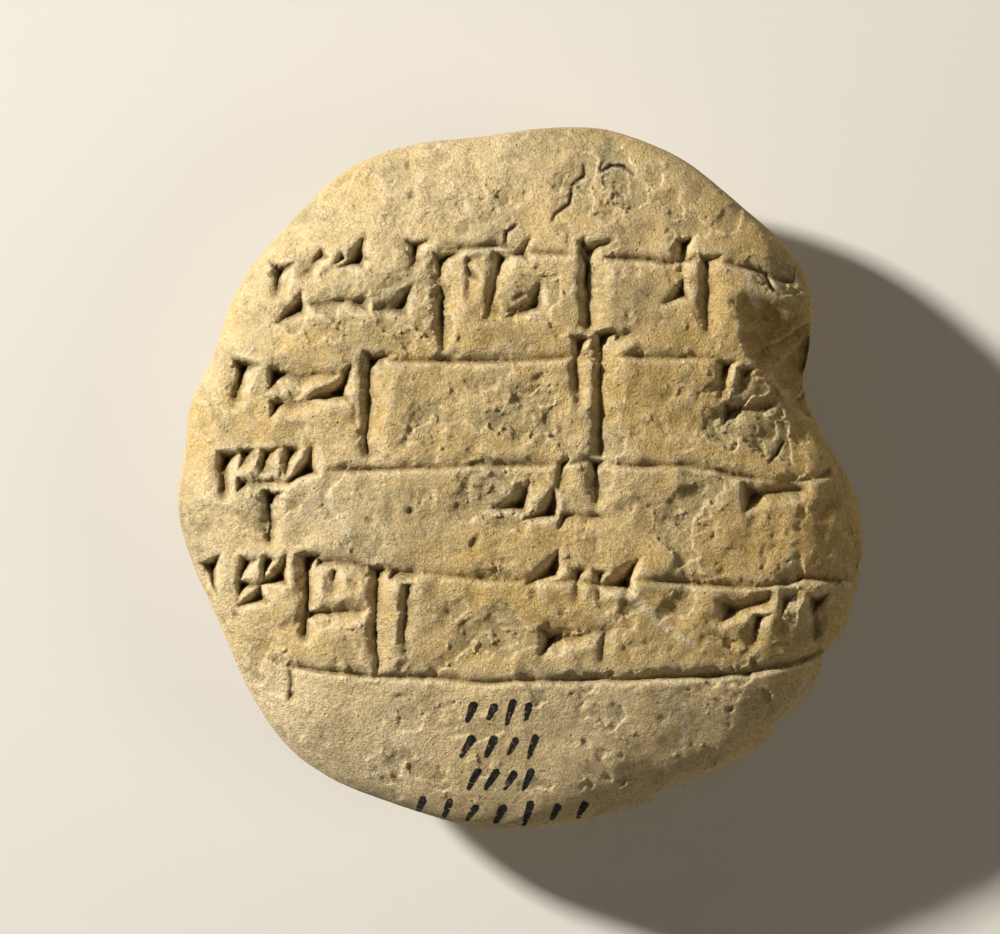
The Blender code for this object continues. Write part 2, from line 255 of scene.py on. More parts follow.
PIT_SHOULDERS = Shoulders(0.45 * MM, 0.60 * MM, 1.45, 1.35)
FURROW_SHOULDERS = Shoulders(0.90 * MM, 1.35 * MM, 2.2, 1.18)

# How many times as deep as in the solid: every wedge, a corner wedge, and one pressed open
PRESSURE = 1.65
HOOK_WEIGHT = 1.3
OPEN_WEIGHT = 0.92

# Shares of an impression's own width or length
DEEPEST_ALONG = 0.18
DEEPEST_ASIDE = 0.34
HEAD_ASIDE = 0.60
LIT_HALF = 0.15
OPEN_HALF = 0.35
HOOK_CORNER = 0.20
TAIL_OVERLAP = 0.12
TAIL_END = 0.45

# How far a side turns to the lower right before it counts as pushed up, and the room left round marks
LIT_FACING = 0.3
MARGIN = 3.0 * MM
DENT_MARGIN = 1.2
FAR = 1.0


@dataclass(frozen=True)
class CornerPit(Mark):
    """A three-sided pit given by its corners and its deepest point, in its own directions."""

    corners: tuple[tuple[float, float], ...] = ()
    deepest: tuple[float, float] = (0.0, 0.0)
    pit_depth: float = 1.0 * MM

    def window(self) -> Window:
        """A square that holds the pit and its shoulders."""
        return around(((self.x, self.y),), max(math.hypot(*corner) for corner in self.corners) + MARGIN)

    def carve(self, x: np.ndarray, y: np.ndarray) -> np.ndarray:
        """Works out the pit from its three sides.

        Args:
            x: Places along X.
            y: Places along Y.

        Returns:
            Depths in metres.
        """
        aside, run = self.local(x, y)
        turn = self.turn()
        shares = []
        for k, (ax, ay) in enumerate(self.corners):
            bx, by = self.corners[(k + 1) % len(self.corners)]
            length = math.hypot(bx - ax, by - ay)
            nx, ny = (by - ay) / length, (ax - bx) / length
            low = (self.deepest[0] - ax) * nx + (self.deepest[1] - ay) * ny
            inward = math.copysign(1.0, low)
            out_x = -inward * (nx * math.cos(turn) + ny * math.sin(turn))
            out_y = -inward * (nx * math.sin(turn) - ny * math.cos(turn))
            inside = ((aside - ax) * nx + (run - ay) * ny) * inward
            shares.append(PIT_SHOULDERS.side(inside, abs(low), out_x - out_y > LIT_FACING))
        return np.min(shares, axis=0) * self.pit_depth * PRESSURE


@dataclass(frozen=True)
class Trough(Mark):
    """The tail of a wedge: a furrow that narrows and rises towards its end, its deep line to one side.

    Attributes:
        start: Where the furrow starts, along its heading.
        end: Where it ends.
        width: Its width at its start.
        pit_depth: Its depth at its start.
        slant: Where its deepest line lies.
        tip_run: The length over which it rises at its end.
        tip_power: How suddenly it rises there.
        root_lead: How far before its start it begins to sink.
        root_run: The length over which it sinks.
        thin_share: The share of the depth that doesn't follow the width.
    """

    start: float = 0.0
    end: float = 5.0 * MM
    width: float = 2.0 * MM
    pit_depth: float = 1.0 * MM
    slant: Slant = Slant.STEEP
    tip_run: float = 1.4 * MM
    tip_power: float = 0.7
    root_lead: float = 0.5 * MM
    root_run: float = 1.0 * MM
    thin_share: float = 0.35

    def window(self) -> Window:
        """A box that holds the furrow and its shoulders."""
        turn = math.radians(self.heading)
        tip = (self.x + self.end * math.cos(turn), self.y + self.end * math.sin(turn))
        return around(((self.x, self.y), tip), self.width + MARGIN)

    def carve(self, x: np.ndarray, y: np.ndarray) -> np.ndarray:
        """Works out the furrow's two sides and its ends.

        Args:
            x: Places along X.
            y: Places along Y.

        Returns:
            Depths in metres.
        """
        aside, run = self.local(x, y)
        taper = 1.0 - (1.0 - TAIL_END) * np.clip((run - self.start) / (self.end - self.start), 0.0, 1.0)
        half = self.width / 2 * taper
        side = self.steep_side()
        line = self.slant.value * DEEPEST_ASIDE * self.width * taper
        lit = FURROW_SHOULDERS.side(half - side * aside, half - line, True)
        shade = FURROW_SHOULDERS.side(half + side * aside, half + line, False)
        tip = np.clip((self.end - run) / self.tip_run, 0.0, 1.0) ** self.tip_power
        root = np.clip((run - self.start + self.root_lead) / self.root_run, 0.0, 1.0)
        thin = self.thin_share + (1.0 - self.thin_share) * taper
        return np.minimum(lit, shade) * tip * root * self.pit_depth * PRESSURE * thin


@dataclass(frozen=True)
class Path(Mark):
    """A line over the face: a ruled line, a crack or a scratch, through points given in metres.

    Attributes:
        points: The line's points.
        above: How far the slope on its left side reaches.
        below: How far the slope on its right side reaches.
        line_depth: Its depth.
        fade: The share of its length over which each end fades.
        power: How late its sides steepen.
    """

    points: Points = ()
    above: float = 1.5 * MM
    below: float = 0.65 * MM
    line_depth: float = 0.90 * MM
    fade: float = 0.04
    power: float = 2.2

    @classmethod
    def through(cls, outline: Outline, shares: Points, **shape: float) -> "Path":
        """A path through places given as shares of the face, with its other fields by name."""
        return cls(0.0, 0.0, 0.0, tuple(outline.place(*share) for share in shares), **shape)

    def window(self) -> Window:
        """The box of the line's points and its slopes."""
        return around(self.points, MARGIN)

    def beside(self, x: np.ndarray, y: np.ndarray) -> tuple[np.ndarray, np.ndarray]:
        """Measures places against the line.

        Args:
            x: Places along X.
            y: Places along Y.

        Returns:
            Distance from the line, above zero on its left, and the share of the line's length passed there.
        """
        best = np.full(x.shape, FAR)
        side = np.zeros(x.shape)
        passed = np.zeros(x.shape)
        whole = sum(math.dist(a, b) for a, b in zip(self.points, self.points[1:]))
        run = 0.0
        for (ax, ay), (bx, by) in zip(self.points, self.points[1:]):
            length = math.dist((ax, ay), (bx, by))
            tx, ty = (bx - ax) / length, (by - ay) / length
            t = np.clip((x - ax) * tx + (y - ay) * ty, 0.0, length)
            dx, dy = x - ax - t * tx, y - ay - t * ty
            distance = np.hypot(dx, dy)
            nearer = distance < best
            best = np.where(nearer, distance, best)
            side = np.where(nearer, np.sign(tx * dy - ty * dx), side)
            passed = np.where(nearer, (run + t) / whole, passed)
            run += length
        return best * np.where(side < 0.0, -1.0, 1.0), passed

    def carve(self, x: np.ndarray, y: np.ndarray) -> np.ndarray:
        """Works out the line's two slopes.

        Args:
            x: Places along X.
            y: Places along Y.

        Returns:
            Depths in metres.
        """
        offset, passed = self.beside(x, y)
        strength = np.sqrt(np.clip(np.minimum(passed, 1.0 - passed) / self.fade, 0.0, 1.0))
        reach = np.where(offset > 0.0, self.above, self.below)
        return np.clip(1.0 - np.abs(offset) / reach, 0.0, 1.0) ** self.power * self.line_depth * strength


@dataclass(frozen=True)
class Dent(Mark):
    """A small hole where a grain fell out of the clay or a point knocked it."""

    radius: float = 0.4 * MM
    pit_depth: float = 0.25 * MM
    stretch: float = 1.0

    def window(self) -> Window:
        """A square that holds the dent."""
        return around(((self.x, self.y),), self.radius * max(1.0, self.stretch) * DENT_MARGIN)

    def carve(self, x: np.ndarray, y: np.ndarray) -> np.ndarray:
        """Works out a small bowl.

        Args:
            x: Places along X.
            y: Places along Y.

        Returns:
            Depths in metres.
        """
        aside, run = self.local(x, y)
        distance = np.hypot(aside, run / self.stretch) / self.radius
        return np.clip(1.0 - distance**2, 0.0, 1.0) * self.pit_depth


@dataclass(frozen=True)
class Row:
    """A row of impressions between two ruled lines.

    Places are shares of the face's half width and of the row's height below its top, headings are degrees,
    and lengths are in row heights.

    Attributes:
        top: Where the row starts, as a share of the half length.
        foot: Where it ends.
        strokes: Each wedge's across, drop, heading, length and press.
        open_strokes: The same for the wedges whose deepest line lies towards the shaded side.
        combs: The same for each comb's first wedge, then how many there are and how far apart.
        hooks: Each corner wedge's across, drop, turn and press.
    """

    top: float
    foot: float
    strokes: tuple[tuple, ...]
    open_strokes: tuple[tuple, ...]
    combs: tuple[tuple, ...]
    hooks: tuple[tuple, ...]


FIRST_ROW = Row(
    0.635, 0.342,
    strokes=((-0.712, 0.10, DOWN - 4, 0.36, PLAIN), (-0.446, 0.42, LEFT + 4, 0.66, PLAIN),
             (-0.322, -0.12, DOWN, 0.34, PLAIN), (-0.074, 0.00, DOWN - 9, 0.68, PLAIN),
             (0.450, -0.14, DOWN + 4, 0.36, PLAIN)),
    open_strokes=((-0.222, -0.02, DOWN, 0.98, BROAD), (-0.146, 0.04, DOWN, 0.48, FINE),
                  (0.196, -0.10, DOWN, 0.90, BROAD), (0.536, 0.02, DOWN, 0.80, PLAIN)),
    combs=((-0.574, -0.02, 226.0, 0.36, FINE, 3, 0.058),),
    hooks=((-0.455, 0.12, 0, PLAIN), (-0.632, 0.58, 10, FINE), (-0.326, 0.56, -8, PLAIN),
           (0.012, 0.04, -10, FINE), (0.058, 0.54, 6, PLAIN), (0.474, 0.42, 8, FINE)),
)
SECOND_ROW = Row(
    0.342, 0.036,
    strokes=((-0.820, 0.02, DOWN - 10, 0.44, BROAD), (-0.716, 0.10, RIGHT - 3, 0.70, PLAIN),
             (-0.716, 0.40, RIGHT, 0.52, FINE), (0.266, -0.22, RIGHT + 4, 0.28, FINE),
             (0.566, 0.04, DOWN, 0.40, PLAIN), (0.628, 0.10, DOWN - 4, 0.28, FINE),
             (0.584, 0.45, RIGHT + 3, 0.50, PLAIN)),
    open_strokes=((-0.428, -0.04, DOWN - 3, 1.00, BROAD), (0.170, -0.18, DOWN - 2, 0.68, PLAIN),
                  (0.236, -0.24, DOWN - 1, 1.22, BROAD)),
    combs=(),
    hooks=((-0.494, 0.38, 0, BROAD),),
)
THIRD_ROW = Row(
    0.036, -0.278,
    strokes=((-0.866, -0.14, DOWN, 0.44, BROAD), (-0.806, 0.12, RIGHT + 2, 0.46, FINE),
             (-0.730, 0.22, DOWN - 3, 0.54, PLAIN), (0.104, -0.05, DOWN, 0.34, FINE),
             (0.110, 0.44, RIGHT + 2, 0.48, FINE), (0.640, 0.17, RIGHT + 2, 0.62, BROAD)),
    open_strokes=((0.214, -0.06, DOWN + 2, 0.46, PLAIN),),
    combs=((-0.802, -0.16, DOWN - 4, 0.24, FINE, 3, 0.064),),
    hooks=((-0.590, 0.06, 12, PLAIN), (0.010, 0.38, -6, PLAIN), (0.100, 0.44, 4, PLAIN)),
)
FOURTH_ROW = Row(
    -0.278, -0.556,
    strokes=((-0.914, -0.14, DOWN + 22, 0.28, PLAIN), (-0.814, 0.07, RIGHT, 0.44, FINE),
             (-0.632, -0.24, DOWN, 0.92, BROAD), (-0.590, -0.22, RIGHT - 5, 0.62, PLAIN),
             (-0.548, -0.10, DOWN, 0.36, FINE), (-0.618, 0.32, RIGHT + 3, 0.66, PLAIN),
             (-0.376, -0.12, RIGHT - 8, 0.36, PLAIN), (-0.336, 0.06, DOWN, 0.72, FINE),
             (0.056, 0.53, RIGHT + 5, 0.76, BROAD), (0.224, 0.52, DOWN, 0.42, FINE),
             (0.574, 0.24, RIGHT + 8, 0.58, BROAD), (0.664, 0.36, DOWN - 8, 0.36, PLAIN),
             (0.742, 0.22, RIGHT + 18, 0.30, FINE), (0.836, 0.20, DOWN, 0.46, PLAIN)),
    open_strokes=((-0.414, -0.14, DOWN, 1.14, BROAD),),
    combs=((-0.800, -0.18, DOWN - 8, 0.20, FINE, 2, 0.060), (0.150, -0.06, DOWN, 0.36, FINE, 2, 0.066)),
    hooks=((-0.672, 0.04, 4, PLAIN), (-0.742, 0.24, 6, FINE), (0.104, 0.00, 6, PLAIN),
           (0.312, 0.14, -14, BROAD)),
)


@dataclass
class Writing:
    """The rows of impressed wedges."""

    outline: Outline
    rows: tuple[Row, ...] = (FIRST_ROW, SECOND_ROW, THIRD_ROW, FOURTH_ROW)
    marks: list[Mark] = field(default_factory=list)

    def spot(self, row: Row, across: float, drop: float) -> tuple[float, float]:
        """A place in a row, in metres."""
        return self.outline.place(across, row.top - drop * (row.top - row.foot))

    def stroke(
        self, row: Row, across: float, drop: float, heading: float, length: float, press: Press,
        slant: Slant = Slant.STEEP,
    ) -> None:
        """Presses a wedge with a tail.

        Args:
            row: The row that it is in.
            across: The head's place as a share of the half width.
            drop: The head's place as a share of the row's height below its top.
            heading: The way the tail runs, in degrees.
            length: The whole length in row heights.
            press: The size of the impression.
            slant: Where its deepest line lies.
        """
        nib = press.value
        x, y = self.spot(row, across, drop)
        half = nib.head_width / 2
        side = Mark(x, y, heading).steep_side()
        lit, weight = (LIT_HALF, 1.0) if slant is Slant.STEEP else (OPEN_HALF, OPEN_WEIGHT)
        aside = side * slant.value * DEEPEST_ASIDE * nib.head_width * HEAD_ASIDE
        corners = ((side * half, 0.0), (-side * half * lit, 0.0), (0.0, nib.head_length))
        deepest = (aside, DEEPEST_ALONG * nib.head_width)
        self.marks.append(CornerPit(x, y, heading, corners, deepest, nib.head_depth * weight))
        start = TAIL_OVERLAP * nib.head_length
        end = length * ((row.top - row.foot) * self.outline.length / 2)
        self.marks.append(Trough(x, y, heading, start, end, nib.tail_width, nib.tail_depth * weight, slant))

    def hook(self, row: Row, across: float, drop: float, turn: float, press: Press) -> None:
        """Presses a corner wedge, its square corner at the lower right before it is turned.

        Args:
            row: The row that it is in.
            across: The corner's place as a share of the half width.
            drop: The corner's place as a share of the row's height below its top.
            turn: Degrees turned.
            press: The size of the impression.
        """
        nib = press.value
        x, y = self.spot(row, across, drop)
        corners = ((0.0, 0.0), (0.0, -nib.head_length), (-nib.head_width, 0.0))
        deepest = (-HOOK_CORNER * nib.head_width, -HOOK_CORNER * nib.head_length)
        self.marks.append(CornerPit(x, y, DOWN + turn, corners, deepest, nib.head_depth * HOOK_WEIGHT))

    def press_all(self) -> list[Mark]:
        """Presses every row.

        Returns:
            Every impression on the face.
        """
        for row in self.rows:
            for stroke in row.strokes:
                self.stroke(row, *stroke)
            for stroke in row.open_strokes:
                self.stroke(row, *stroke, Slant.OPEN)
            for across, *stroke, count, pitch in row.combs:
                for k in range(count):
                    self.stroke(row, across + k * pitch, *stroke)
            for hook in row.hooks:
                self.hook(row, *hook)
        return self.marks


@dataclass
class RuledLines:
    """The lines drawn across the face under each row, and a short margin stroke below the last."""

    outline: Outline
    lines: tuple[Points, ...] = (
        ((-0.30, 0.610), (-0.22, 0.645), (-0.06, 0.650), (0.20, 0.625), (0.44, 0.608), (0.52, 0.622),
         (0.66, 0.596), (0.80, 0.545)),
        ((-0.42, 0.335), (-0.12, 0.330), (0.18, 0.342), (0.58, 0.339)),
        ((-0.56, 0.024), (-0.34, 0.031), (0.18, 0.045), (0.48, 0.034), (0.64, 0.008), (0.78, -0.006),
         (0.90, 0.014)),
        ((-0.36, -0.256), (-0.09, -0.284), (0.20, -0.292), (0.31, -0.284), (0.55, -0.295), (0.70, -0.306),
         (0.82, -0.286), (0.93, -0.292)),
        ((-0.68, -0.532), (-0.43, -0.554), (-0.12, -0.567), (0.23, -0.564), (0.52, -0.556), (0.64, -0.548),
         (0.77, -0.520), (0.875, -0.484)),
        ((-0.668, -0.525), (-0.662, -0.575), (-0.668, -0.630)),
    )
    depths: Numbers = (1.05 * MM, 0.85 * MM, 0.80 * MM, 0.80 * MM, 1.15 * MM, 0.50 * MM)

    def draw(self) -> list[Path]:
        """One groove for each line, laid on the face."""
        pairs = zip(self.lines, self.depths)
        return [Path.through(self.outline, line, line_depth=depth) for line, depth in pairs]


@dataclass
class Wear:
    """What use and age did to the face: cracks, and dents whose radii are in millimetres."""

    outline: Outline
    cracks: tuple[Points, ...] = (
        ((0.180, 0.905), (0.185, 0.862), (0.150, 0.830), (0.142, 0.775), (0.098, 0.742), (0.086, 0.715)),
        ((0.228, 0.862), (0.262, 0.884), (0.300, 0.884), (0.334, 0.856)),
        ((0.762, 0.112), (0.742, 0.074), (0.712, 0.046)),
        ((-0.010, 0.716), (-0.045, 0.690), (-0.050, 0.655)),
        ((0.190, 0.690), (0.175, 0.640), (0.190, 0.600), (0.186, 0.520)),
        ((0.700, 0.585), (0.716, 0.545), (0.735, 0.530)),
    )
    dents: int = 240
    dents_reach: float = 0.95
    least_radius: float = 0.14
    more_radius: float = 0.42
    rarity: int = 5
    seed: int = 4

    def crack_paths(self) -> list[Path]:
        """One narrow groove for each crack, laid on the face."""
        shape = {"above": 0.34 * MM, "below": 0.30 * MM, "line_depth": 0.55 * MM, "fade": 0.3, "power": 1.2}
        return [Path.through(self.outline, crack, **shape) for crack in self.cracks]

    def scatter_dents(self) -> list[Dent]:
        """Scatters small dents over the face.

        Returns:
            The dents, most of them small.
        """
        rng = np.random.default_rng(self.seed)
        dents = []
        while len(dents) < self.dents:
            across, along = rng.uniform(-1.0, 1.0, 2)
            if math.hypot(across, along) > self.dents_reach:
                continue
            x, y = self.outline.place(across, along)
            radius = (self.least_radius + self.more_radius * rng.random() ** self.rarity) * MM
            heading = rng.uniform(0.0, 360.0)
            depth = radius * rng.uniform(0.35, 0.75)
            dents.append(Dent(x, y, heading, radius, depth, rng.uniform(1.0, 2.4)))
        return dents


@dataclass
class FlakeScar:
    """The piece lost from the right of the face: a concave break from a sharp crest out to the rim."""

    outline: Outline
    crest: Points = (
        (0.620, 0.458), (0.634, 0.406), (0.655, 0.344), (0.707, 0.287), (0.759, 0.242), (0.782, 0.208),
        (0.823, 0.190), (0.880, 0.160),
    )
    head: Points = (
        (0.560, 0.420), (0.620, 0.450), (0.666, 0.478), (0.707, 0.475), (0.782, 0.440), (0.940, 0.430),
    )
    wall: float = 6.5 * MM
    wall_drop: float = 3.3 * MM
    wall_power: float = 2.2
    floor_slope: float = 0.34
    head_reach: float = 5.0 * MM

    def carve(self, x: np.ndarray, y: np.ndarray, bare: np.ndarray, grid: "Grid") -> np.ndarray:
        """Works out how deep the break lies below the bare face.

        Args:
            x: Places along X.
            y: Places along Y.
            bare: Heights of the bare face there.
            grid: The grid that the bare face is on.

        Returns:
            Depths in metres.
        """
        crest = Path.through(self.outline, self.crest)
        aside, passed = crest.beside(x, y)
        above, _ = Path.through(self.outline, self.head).beside(x, y)
        edge = grid.read(bare, np.array(crest.points))
        steps = [math.dist(a, b) for a, b in zip(crest.points, crest.points[1:])]
        runs = np.concatenate([[0.0], np.cumsum(steps)])
        start = np.interp(passed, runs / runs[-1], edge)
        fall = 1.0 - (1.0 - np.clip(aside / self.wall, 0.0, 1.0)) ** self.wall_power
        floor = start - self.wall_drop * fall - self.floor_slope * aside
        depth = np.where(aside > 0.0, np.maximum(bare - floor, 0.0), 0.0)
        return depth * ease(0.5 - above / self.head_reach)


def ease(share: np.ndarray) -> np.ndarray:
    """A share from 0 to 1 that leaves and arrives gently."""
    share = np.clip(share, 0.0, 1.0)
    return share * share * (3.0 - 2.0 * share)


@dataclass(frozen=True)
class Break:
    """A piece lost from the rim: an ellipsoid taken out of the lump.

    Attributes:
        middle: The ellipsoid's middle.
        radii: Its three radii.
        angles: Its turn as XYZ angles in radians.
        focus: A point inside the clay that the broken surface is drawn towards.
    """

    middle: Vector
    radii: tuple[float, float, float]
    angles: tuple[float, float, float]
    focus: Vector

    def to_unit(self) -> Matrix:
        """The matrix that takes the ellipsoid to a unit ball."""
        turn = Euler(self.angles, "XYZ").to_matrix().to_4x4()
        return (Matrix.Translation(self.middle) @ turn @ Matrix.Diagonal((*self.radii, 1.0))).inverted()

    def spread(self, points: np.ndarray) -> np.ndarray:
        """Distance of points from the ellipsoid's middle, where 1 is its surface."""
        matrix = np.array(self.to_unit())
        return np.linalg.norm(points @ matrix[:3, :3].T + matrix[:3, 3], axis=1)

    def take_out(self, points: np.ndarray) -> tuple[np.ndarray, np.ndarray]:
        """Draws the points inside the ellipsoid back to its surface, towards the focus.

        Args:
            points: Places on the lump's surface, one a row.

        Returns:
            The places with the piece lost, and how far each moved.
        """
        matrix = np.array(self.to_unit())
        unit = points @ matrix[:3, :3].T + matrix[:3, 3]
        start = np.array(self.to_unit() @ self.focus)
        way = unit - start
        a = np.einsum("ij,ij->i", way, way)
        b = 2.0 * way @ start
        c = start @ start - 1.0
        root = np.sqrt(np.maximum(b * b - 4.0 * a * c, 0.0))
        t = (-b - root) / (2.0 * a)
        lost = (np.linalg.norm(unit, axis=1) < 1.0) & (t > 0.0) & (t < 1.0)
        focus = np.array(self.focus)
        moved = points.copy()
        moved[lost] = focus + t[lost, None] * (points[lost] - focus)
        return moved, np.linalg.norm(moved - points, axis=1)


@dataclass(frozen=True)
class Patch:
    """A worn part of the face: a soft ellipse, placed by shares of the half width and half length."""

    across: float
    along: float
    half_width: float
    half_length: float
    turn: float = 0.0
    fullness: float = 1.25

    def cover(self, across: np.ndarray, along: np.ndarray) -> np.ndarray:
        """How much the patch covers places on the face: 1 in its middle and 0 well outside it."""
        turn = math.radians(self.turn)
        dx, dy = across - self.across, along - self.along
        u = (dx * math.cos(turn) + dy * math.sin(turn)) / self.half_width
        v = (dy * math.cos(turn) - dx * math.sin(turn)) / self.half_length
        return np.clip(self.fullness - np.hypot(u, v), 0.0, 1.0)


WORN_PATCHES = (
    Patch(0.00, 0.19, 0.15, 0.12, -12), Patch(0.735, 0.565, 0.14, 0.050, -22),
    Patch(-0.06, -0.04, 0.13, 0.10), Patch(-0.33, 0.50, 0.13, 0.15), Patch(0.02, 0.54, 0.13, 0.08, 8),
    Patch(0.27, 0.82, 0.14, 0.11), Patch(-0.07, 0.78, 0.10, 0.07, 20), Patch(0.66, 0.16, 0.18, 0.09, -14),
    Patch(-0.26, 0.16, 0.10, 0.08, 30), Patch(0.55, -0.80, 0.05, 0.05), Patch(-0.10, -0.42, 0.12, 0.08),
    Patch(-0.62, 0.45, 0.14, 0.05, -12), Patch(0.46, -0.10, 0.12, 0.08, 40),
    Patch(-0.74, -0.02, 0.10, 0.05, 18),
)

PALE_SCRATCHES = (
    ((0.300, -0.320), (0.400, -0.400), (0.520, -0.495)),
    ((0.285, -0.300), (0.350, -0.350), (0.430, -0.420)),
    ((-0.560, -0.040), (-0.520, -0.110), (-0.490, -0.175)),
    ((0.470, -0.610), (0.475, -0.680), (0.470, -0.790)),
    ((-0.10, 0.02), (-0.06, -0.02), (-0.01, -0.05)),
    ((-0.660, -0.120), (-0.600, -0.090), (-0.545, -0.020)),
    ((0.780, -0.180), (0.780, -0.300), (0.795, -0.420)),
    ((0.640, 0.600), (0.668, 0.530), (0.690, 0.470)),
)

# The distance to the nearest ink, in millimetres, where there is none near
NO_INK = 5.0


@dataclass
class InkDabs:
    """Rows of short brush dabs in black ink: each row's place, half span, number of dabs and sag."""

    outline: Outline
    rows: tuple[tuple[float, float, int, float], ...] = (
        (-0.658, 0.080, 4, 0.0), (-0.757, 0.095, 4, 0.0), (-0.850, 0.078, 4, 0.0), (-0.937, 0.235, 7, 0.012),
    )
    middle_across: float = -0.060
    dab_height: float = 3.3 * MM
    dab_width: float = 0.80 * MM
    swell: float = 0.25
    seed: int = 11

    def gap(self, x: np.ndarray, y: np.ndarray) -> np.ndarray:
        """Measures places against the nearest dab.

        Args:
            x: Places along X.
            y: Places along Y.

        Returns:
            Distance to the nearest dab's edge in metres, below zero inside it.
        """
        rng = np.random.default_rng(self.seed)
        nearest = np.full(x.shape, NO_INK * MM)
        for along, half_span, count, sag in self.rows:
            for share in (2.0 * k / (count - 1) - 1.0 for k in range(count)):
                place = (self.middle_across + half_span * share, along - sag * (1.0 - share**2))
                cx, cy = self.outline.place(*place)
                lean = math.radians(rng.uniform(16.0, 34.0))
                half = self.dab_height / 2 * rng.uniform(0.72, 1.05) - self.dab_width / 2
                tx, ty = math.sin(lean), math.cos(lean)
                t = np.clip((x - cx) * tx + (y - cy) * ty, -half, half)
                reach = self.dab_width / 2 * (1.0 + self.swell * t / half)
                nearest = np.minimum(nearest, np.hypot(x - cx - t * tx, y - cy - t * ty) - reach)
        return nearest


def speckle(points: np.ndarray, size: float, octaves: int, seed: float) -> np.ndarray:
    """Reads a smooth random field in space.

    Args:
        points: Places, one a row, in metres.
        size: The size of the field's largest lumps in metres.
        octaves: How many finer layers it has.
        seed: Where in the field the reading starts.

    Returns:
        Values about -1 to 1.
    """
    shift = Vector((seed, 2.0 * seed, 3.0 * seed))
    return np.array([noise.fractal(Vector(p) / size + shift, 1.0, 2.0, octaves) for p in points])


@dataclass(frozen=True)
class Lumps:
    """A layer of random lumps: the largest ones' size, and how much weaker the finer ones are."""

    size: float
    seed: int
    fall: float = 2.0
    weight: float = 1.0


@dataclass
class Grid:
    """A fine square grid over the face, on which the relief is worked out layer by layer."""

    half_width: float = 42.0 * MM
    half_length: float = 43.0 * MM
    pitch: float = 0.1 * MM

    def __post_init__(self) -> None:
        """Lays out the grid and the frequencies of its waves."""
        across = np.arange(-self.half_width, self.half_width + self.pitch / 2, self.pitch)
        along = np.arange(-self.half_length, self.half_length + self.pitch / 2, self.pitch)
        self.x, self.y = np.meshgrid(across, along)
        across_waves = np.fft.rfftfreq(len(across), self.pitch)
        along_waves = np.fft.fftfreq(len(along), self.pitch)
        self.frequency = np.hypot(across_waves[None, :], along_waves[:, None])

    def blur(self, layer: np.ndarray, radius: float) -> np.ndarray:
        """Softens a layer over a radius in metres."""
        soft = np.exp(-2.0 * (math.pi * radius * self.frequency) ** 2)
        return np.fft.irfft2(np.fft.rfft2(layer) * soft, layer.shape)

    def random(self, lumps: Lumps) -> np.ndarray:
        """Makes a layer of random lumps.

        Args:
            lumps: Their sizes, seed and weight.

        Returns:
            Values with a mean of 0 and a spread of the layer's weight.
        """
        waves = np.fft.rfft2(np.random.default_rng(lumps.seed).standard_normal(self.x.shape))
        waves *= (self.frequency**2 + lumps.size**-2.0) ** (-lumps.fall / 2.0)
        layer = np.fft.irfft2(waves, self.x.shape)
        return lumps.weight * ((layer - layer.mean()) / layer.std())

    def cut(self, window: Window) -> tuple[slice, slice]:
        """The rows and columns of the grid inside a window of lowest and highest X and Y."""
        rows, columns = self.x.shape
        across = [int(np.clip((v + self.half_width) / self.pitch, 0, columns)) for v in window[:2]]
        along = [int(np.clip((v + self.half_length) / self.pitch, 0, rows)) for v in window[2:]]
        return slice(*along), slice(*across)

    def read(self, layer: np.ndarray, places: np.ndarray) -> np.ndarray:
        """Reads a layer at places between the grid's points.

        Args:
            layer: The layer.
            places: Places, one a row, in metres.

        Returns:
            The layer's values there.
        """
        u = np.clip((places[:, 0] + self.half_width) / self.pitch, 0.0, layer.shape[1] - 1.001)
        v = np.clip((places[:, 1] + self.half_length) / self.pitch, 0.0, layer.shape[0] - 1.001)
        i, j = u.astype(int), v.astype(int)
        u, v = u - i, v - j
        low = layer[j, i] * (1.0 - u) + layer[j, i + 1] * u
        high = layer[j + 1, i] * (1.0 - u) + layer[j + 1, i + 1] * u
        return low * (1.0 - v) + high * v


@dataclass(frozen=True)
class Flakes:
    """Thin plates that flaked off the face.

    Attributes:
        lumps: Where they lie.
        cover_weight: How much the worn patches add to them.
        rarity: How rare they are.
        thickness: How thick they were.
    """

    lumps: Lumps
    cover_weight: float
    rarity: float
    thickness: float


OUTER_FLAKES = Flakes(Lumps(5.5 * MM, 42, 2.9, 0.60), 1.25, 0.72, 0.30 * MM)
UNDER_FLAKES = Flakes(Lumps(3.2 * MM, 43, 2.7, 0.60), 1.25, 0.98, 0.26 * MM)
STRAY_FLAKES = Flakes(Lumps(4.2 * MM, 44, 2.5), 0.0, 1.35, 0.24 * MM)

# The random layers of the hand, of wear and of the broken surface
WANDER_X = (Lumps(9 * MM, 21, 3.2, 0.10 * MM), Lumps(0.8 * MM, 22, 2.0, 0.012 * MM))
WANDER_Y = (Lumps(9 * MM, 23, 3.2, 0.10 * MM), Lumps(0.8 * MM, 24, 2.0, 0.012 * MM))
WOBBLE_X, WOBBLE_Y = Lumps(2.8 * MM, 25, 2.8), Lumps(2.8 * MM, 26, 2.8)
LINE_PRESSURE = Lumps(12 * MM, 31, 2.0, 0.20)
PALM, FINGERS = Lumps(18 * MM, 32, 3.0, 0.17 * MM), Lumps(5 * MM, 33, 2.7, 0.13 * MM)
WEAR = Lumps(9 * MM, 41, 2.4, 0.12)
CRUMBS, SAND = Lumps(1.8 * MM, 46, 2.2), Lumps(0.8 * MM, 47, 1.7)
SCAR_X, SCAR_Y = Lumps(5 * MM, 51, 2.6, 0.16 * MM), Lumps(5 * MM, 52, 2.6, 0.16 * MM)
SCAR_LUMPS = Lumps(5.0 * MM, 53, 2.4, 0.06 * MM)

# The relief fades out between these heights over the rim's widest line
RIM_FADE_START = 0.3 * MM
RIM_FADE = 2.4 * MM


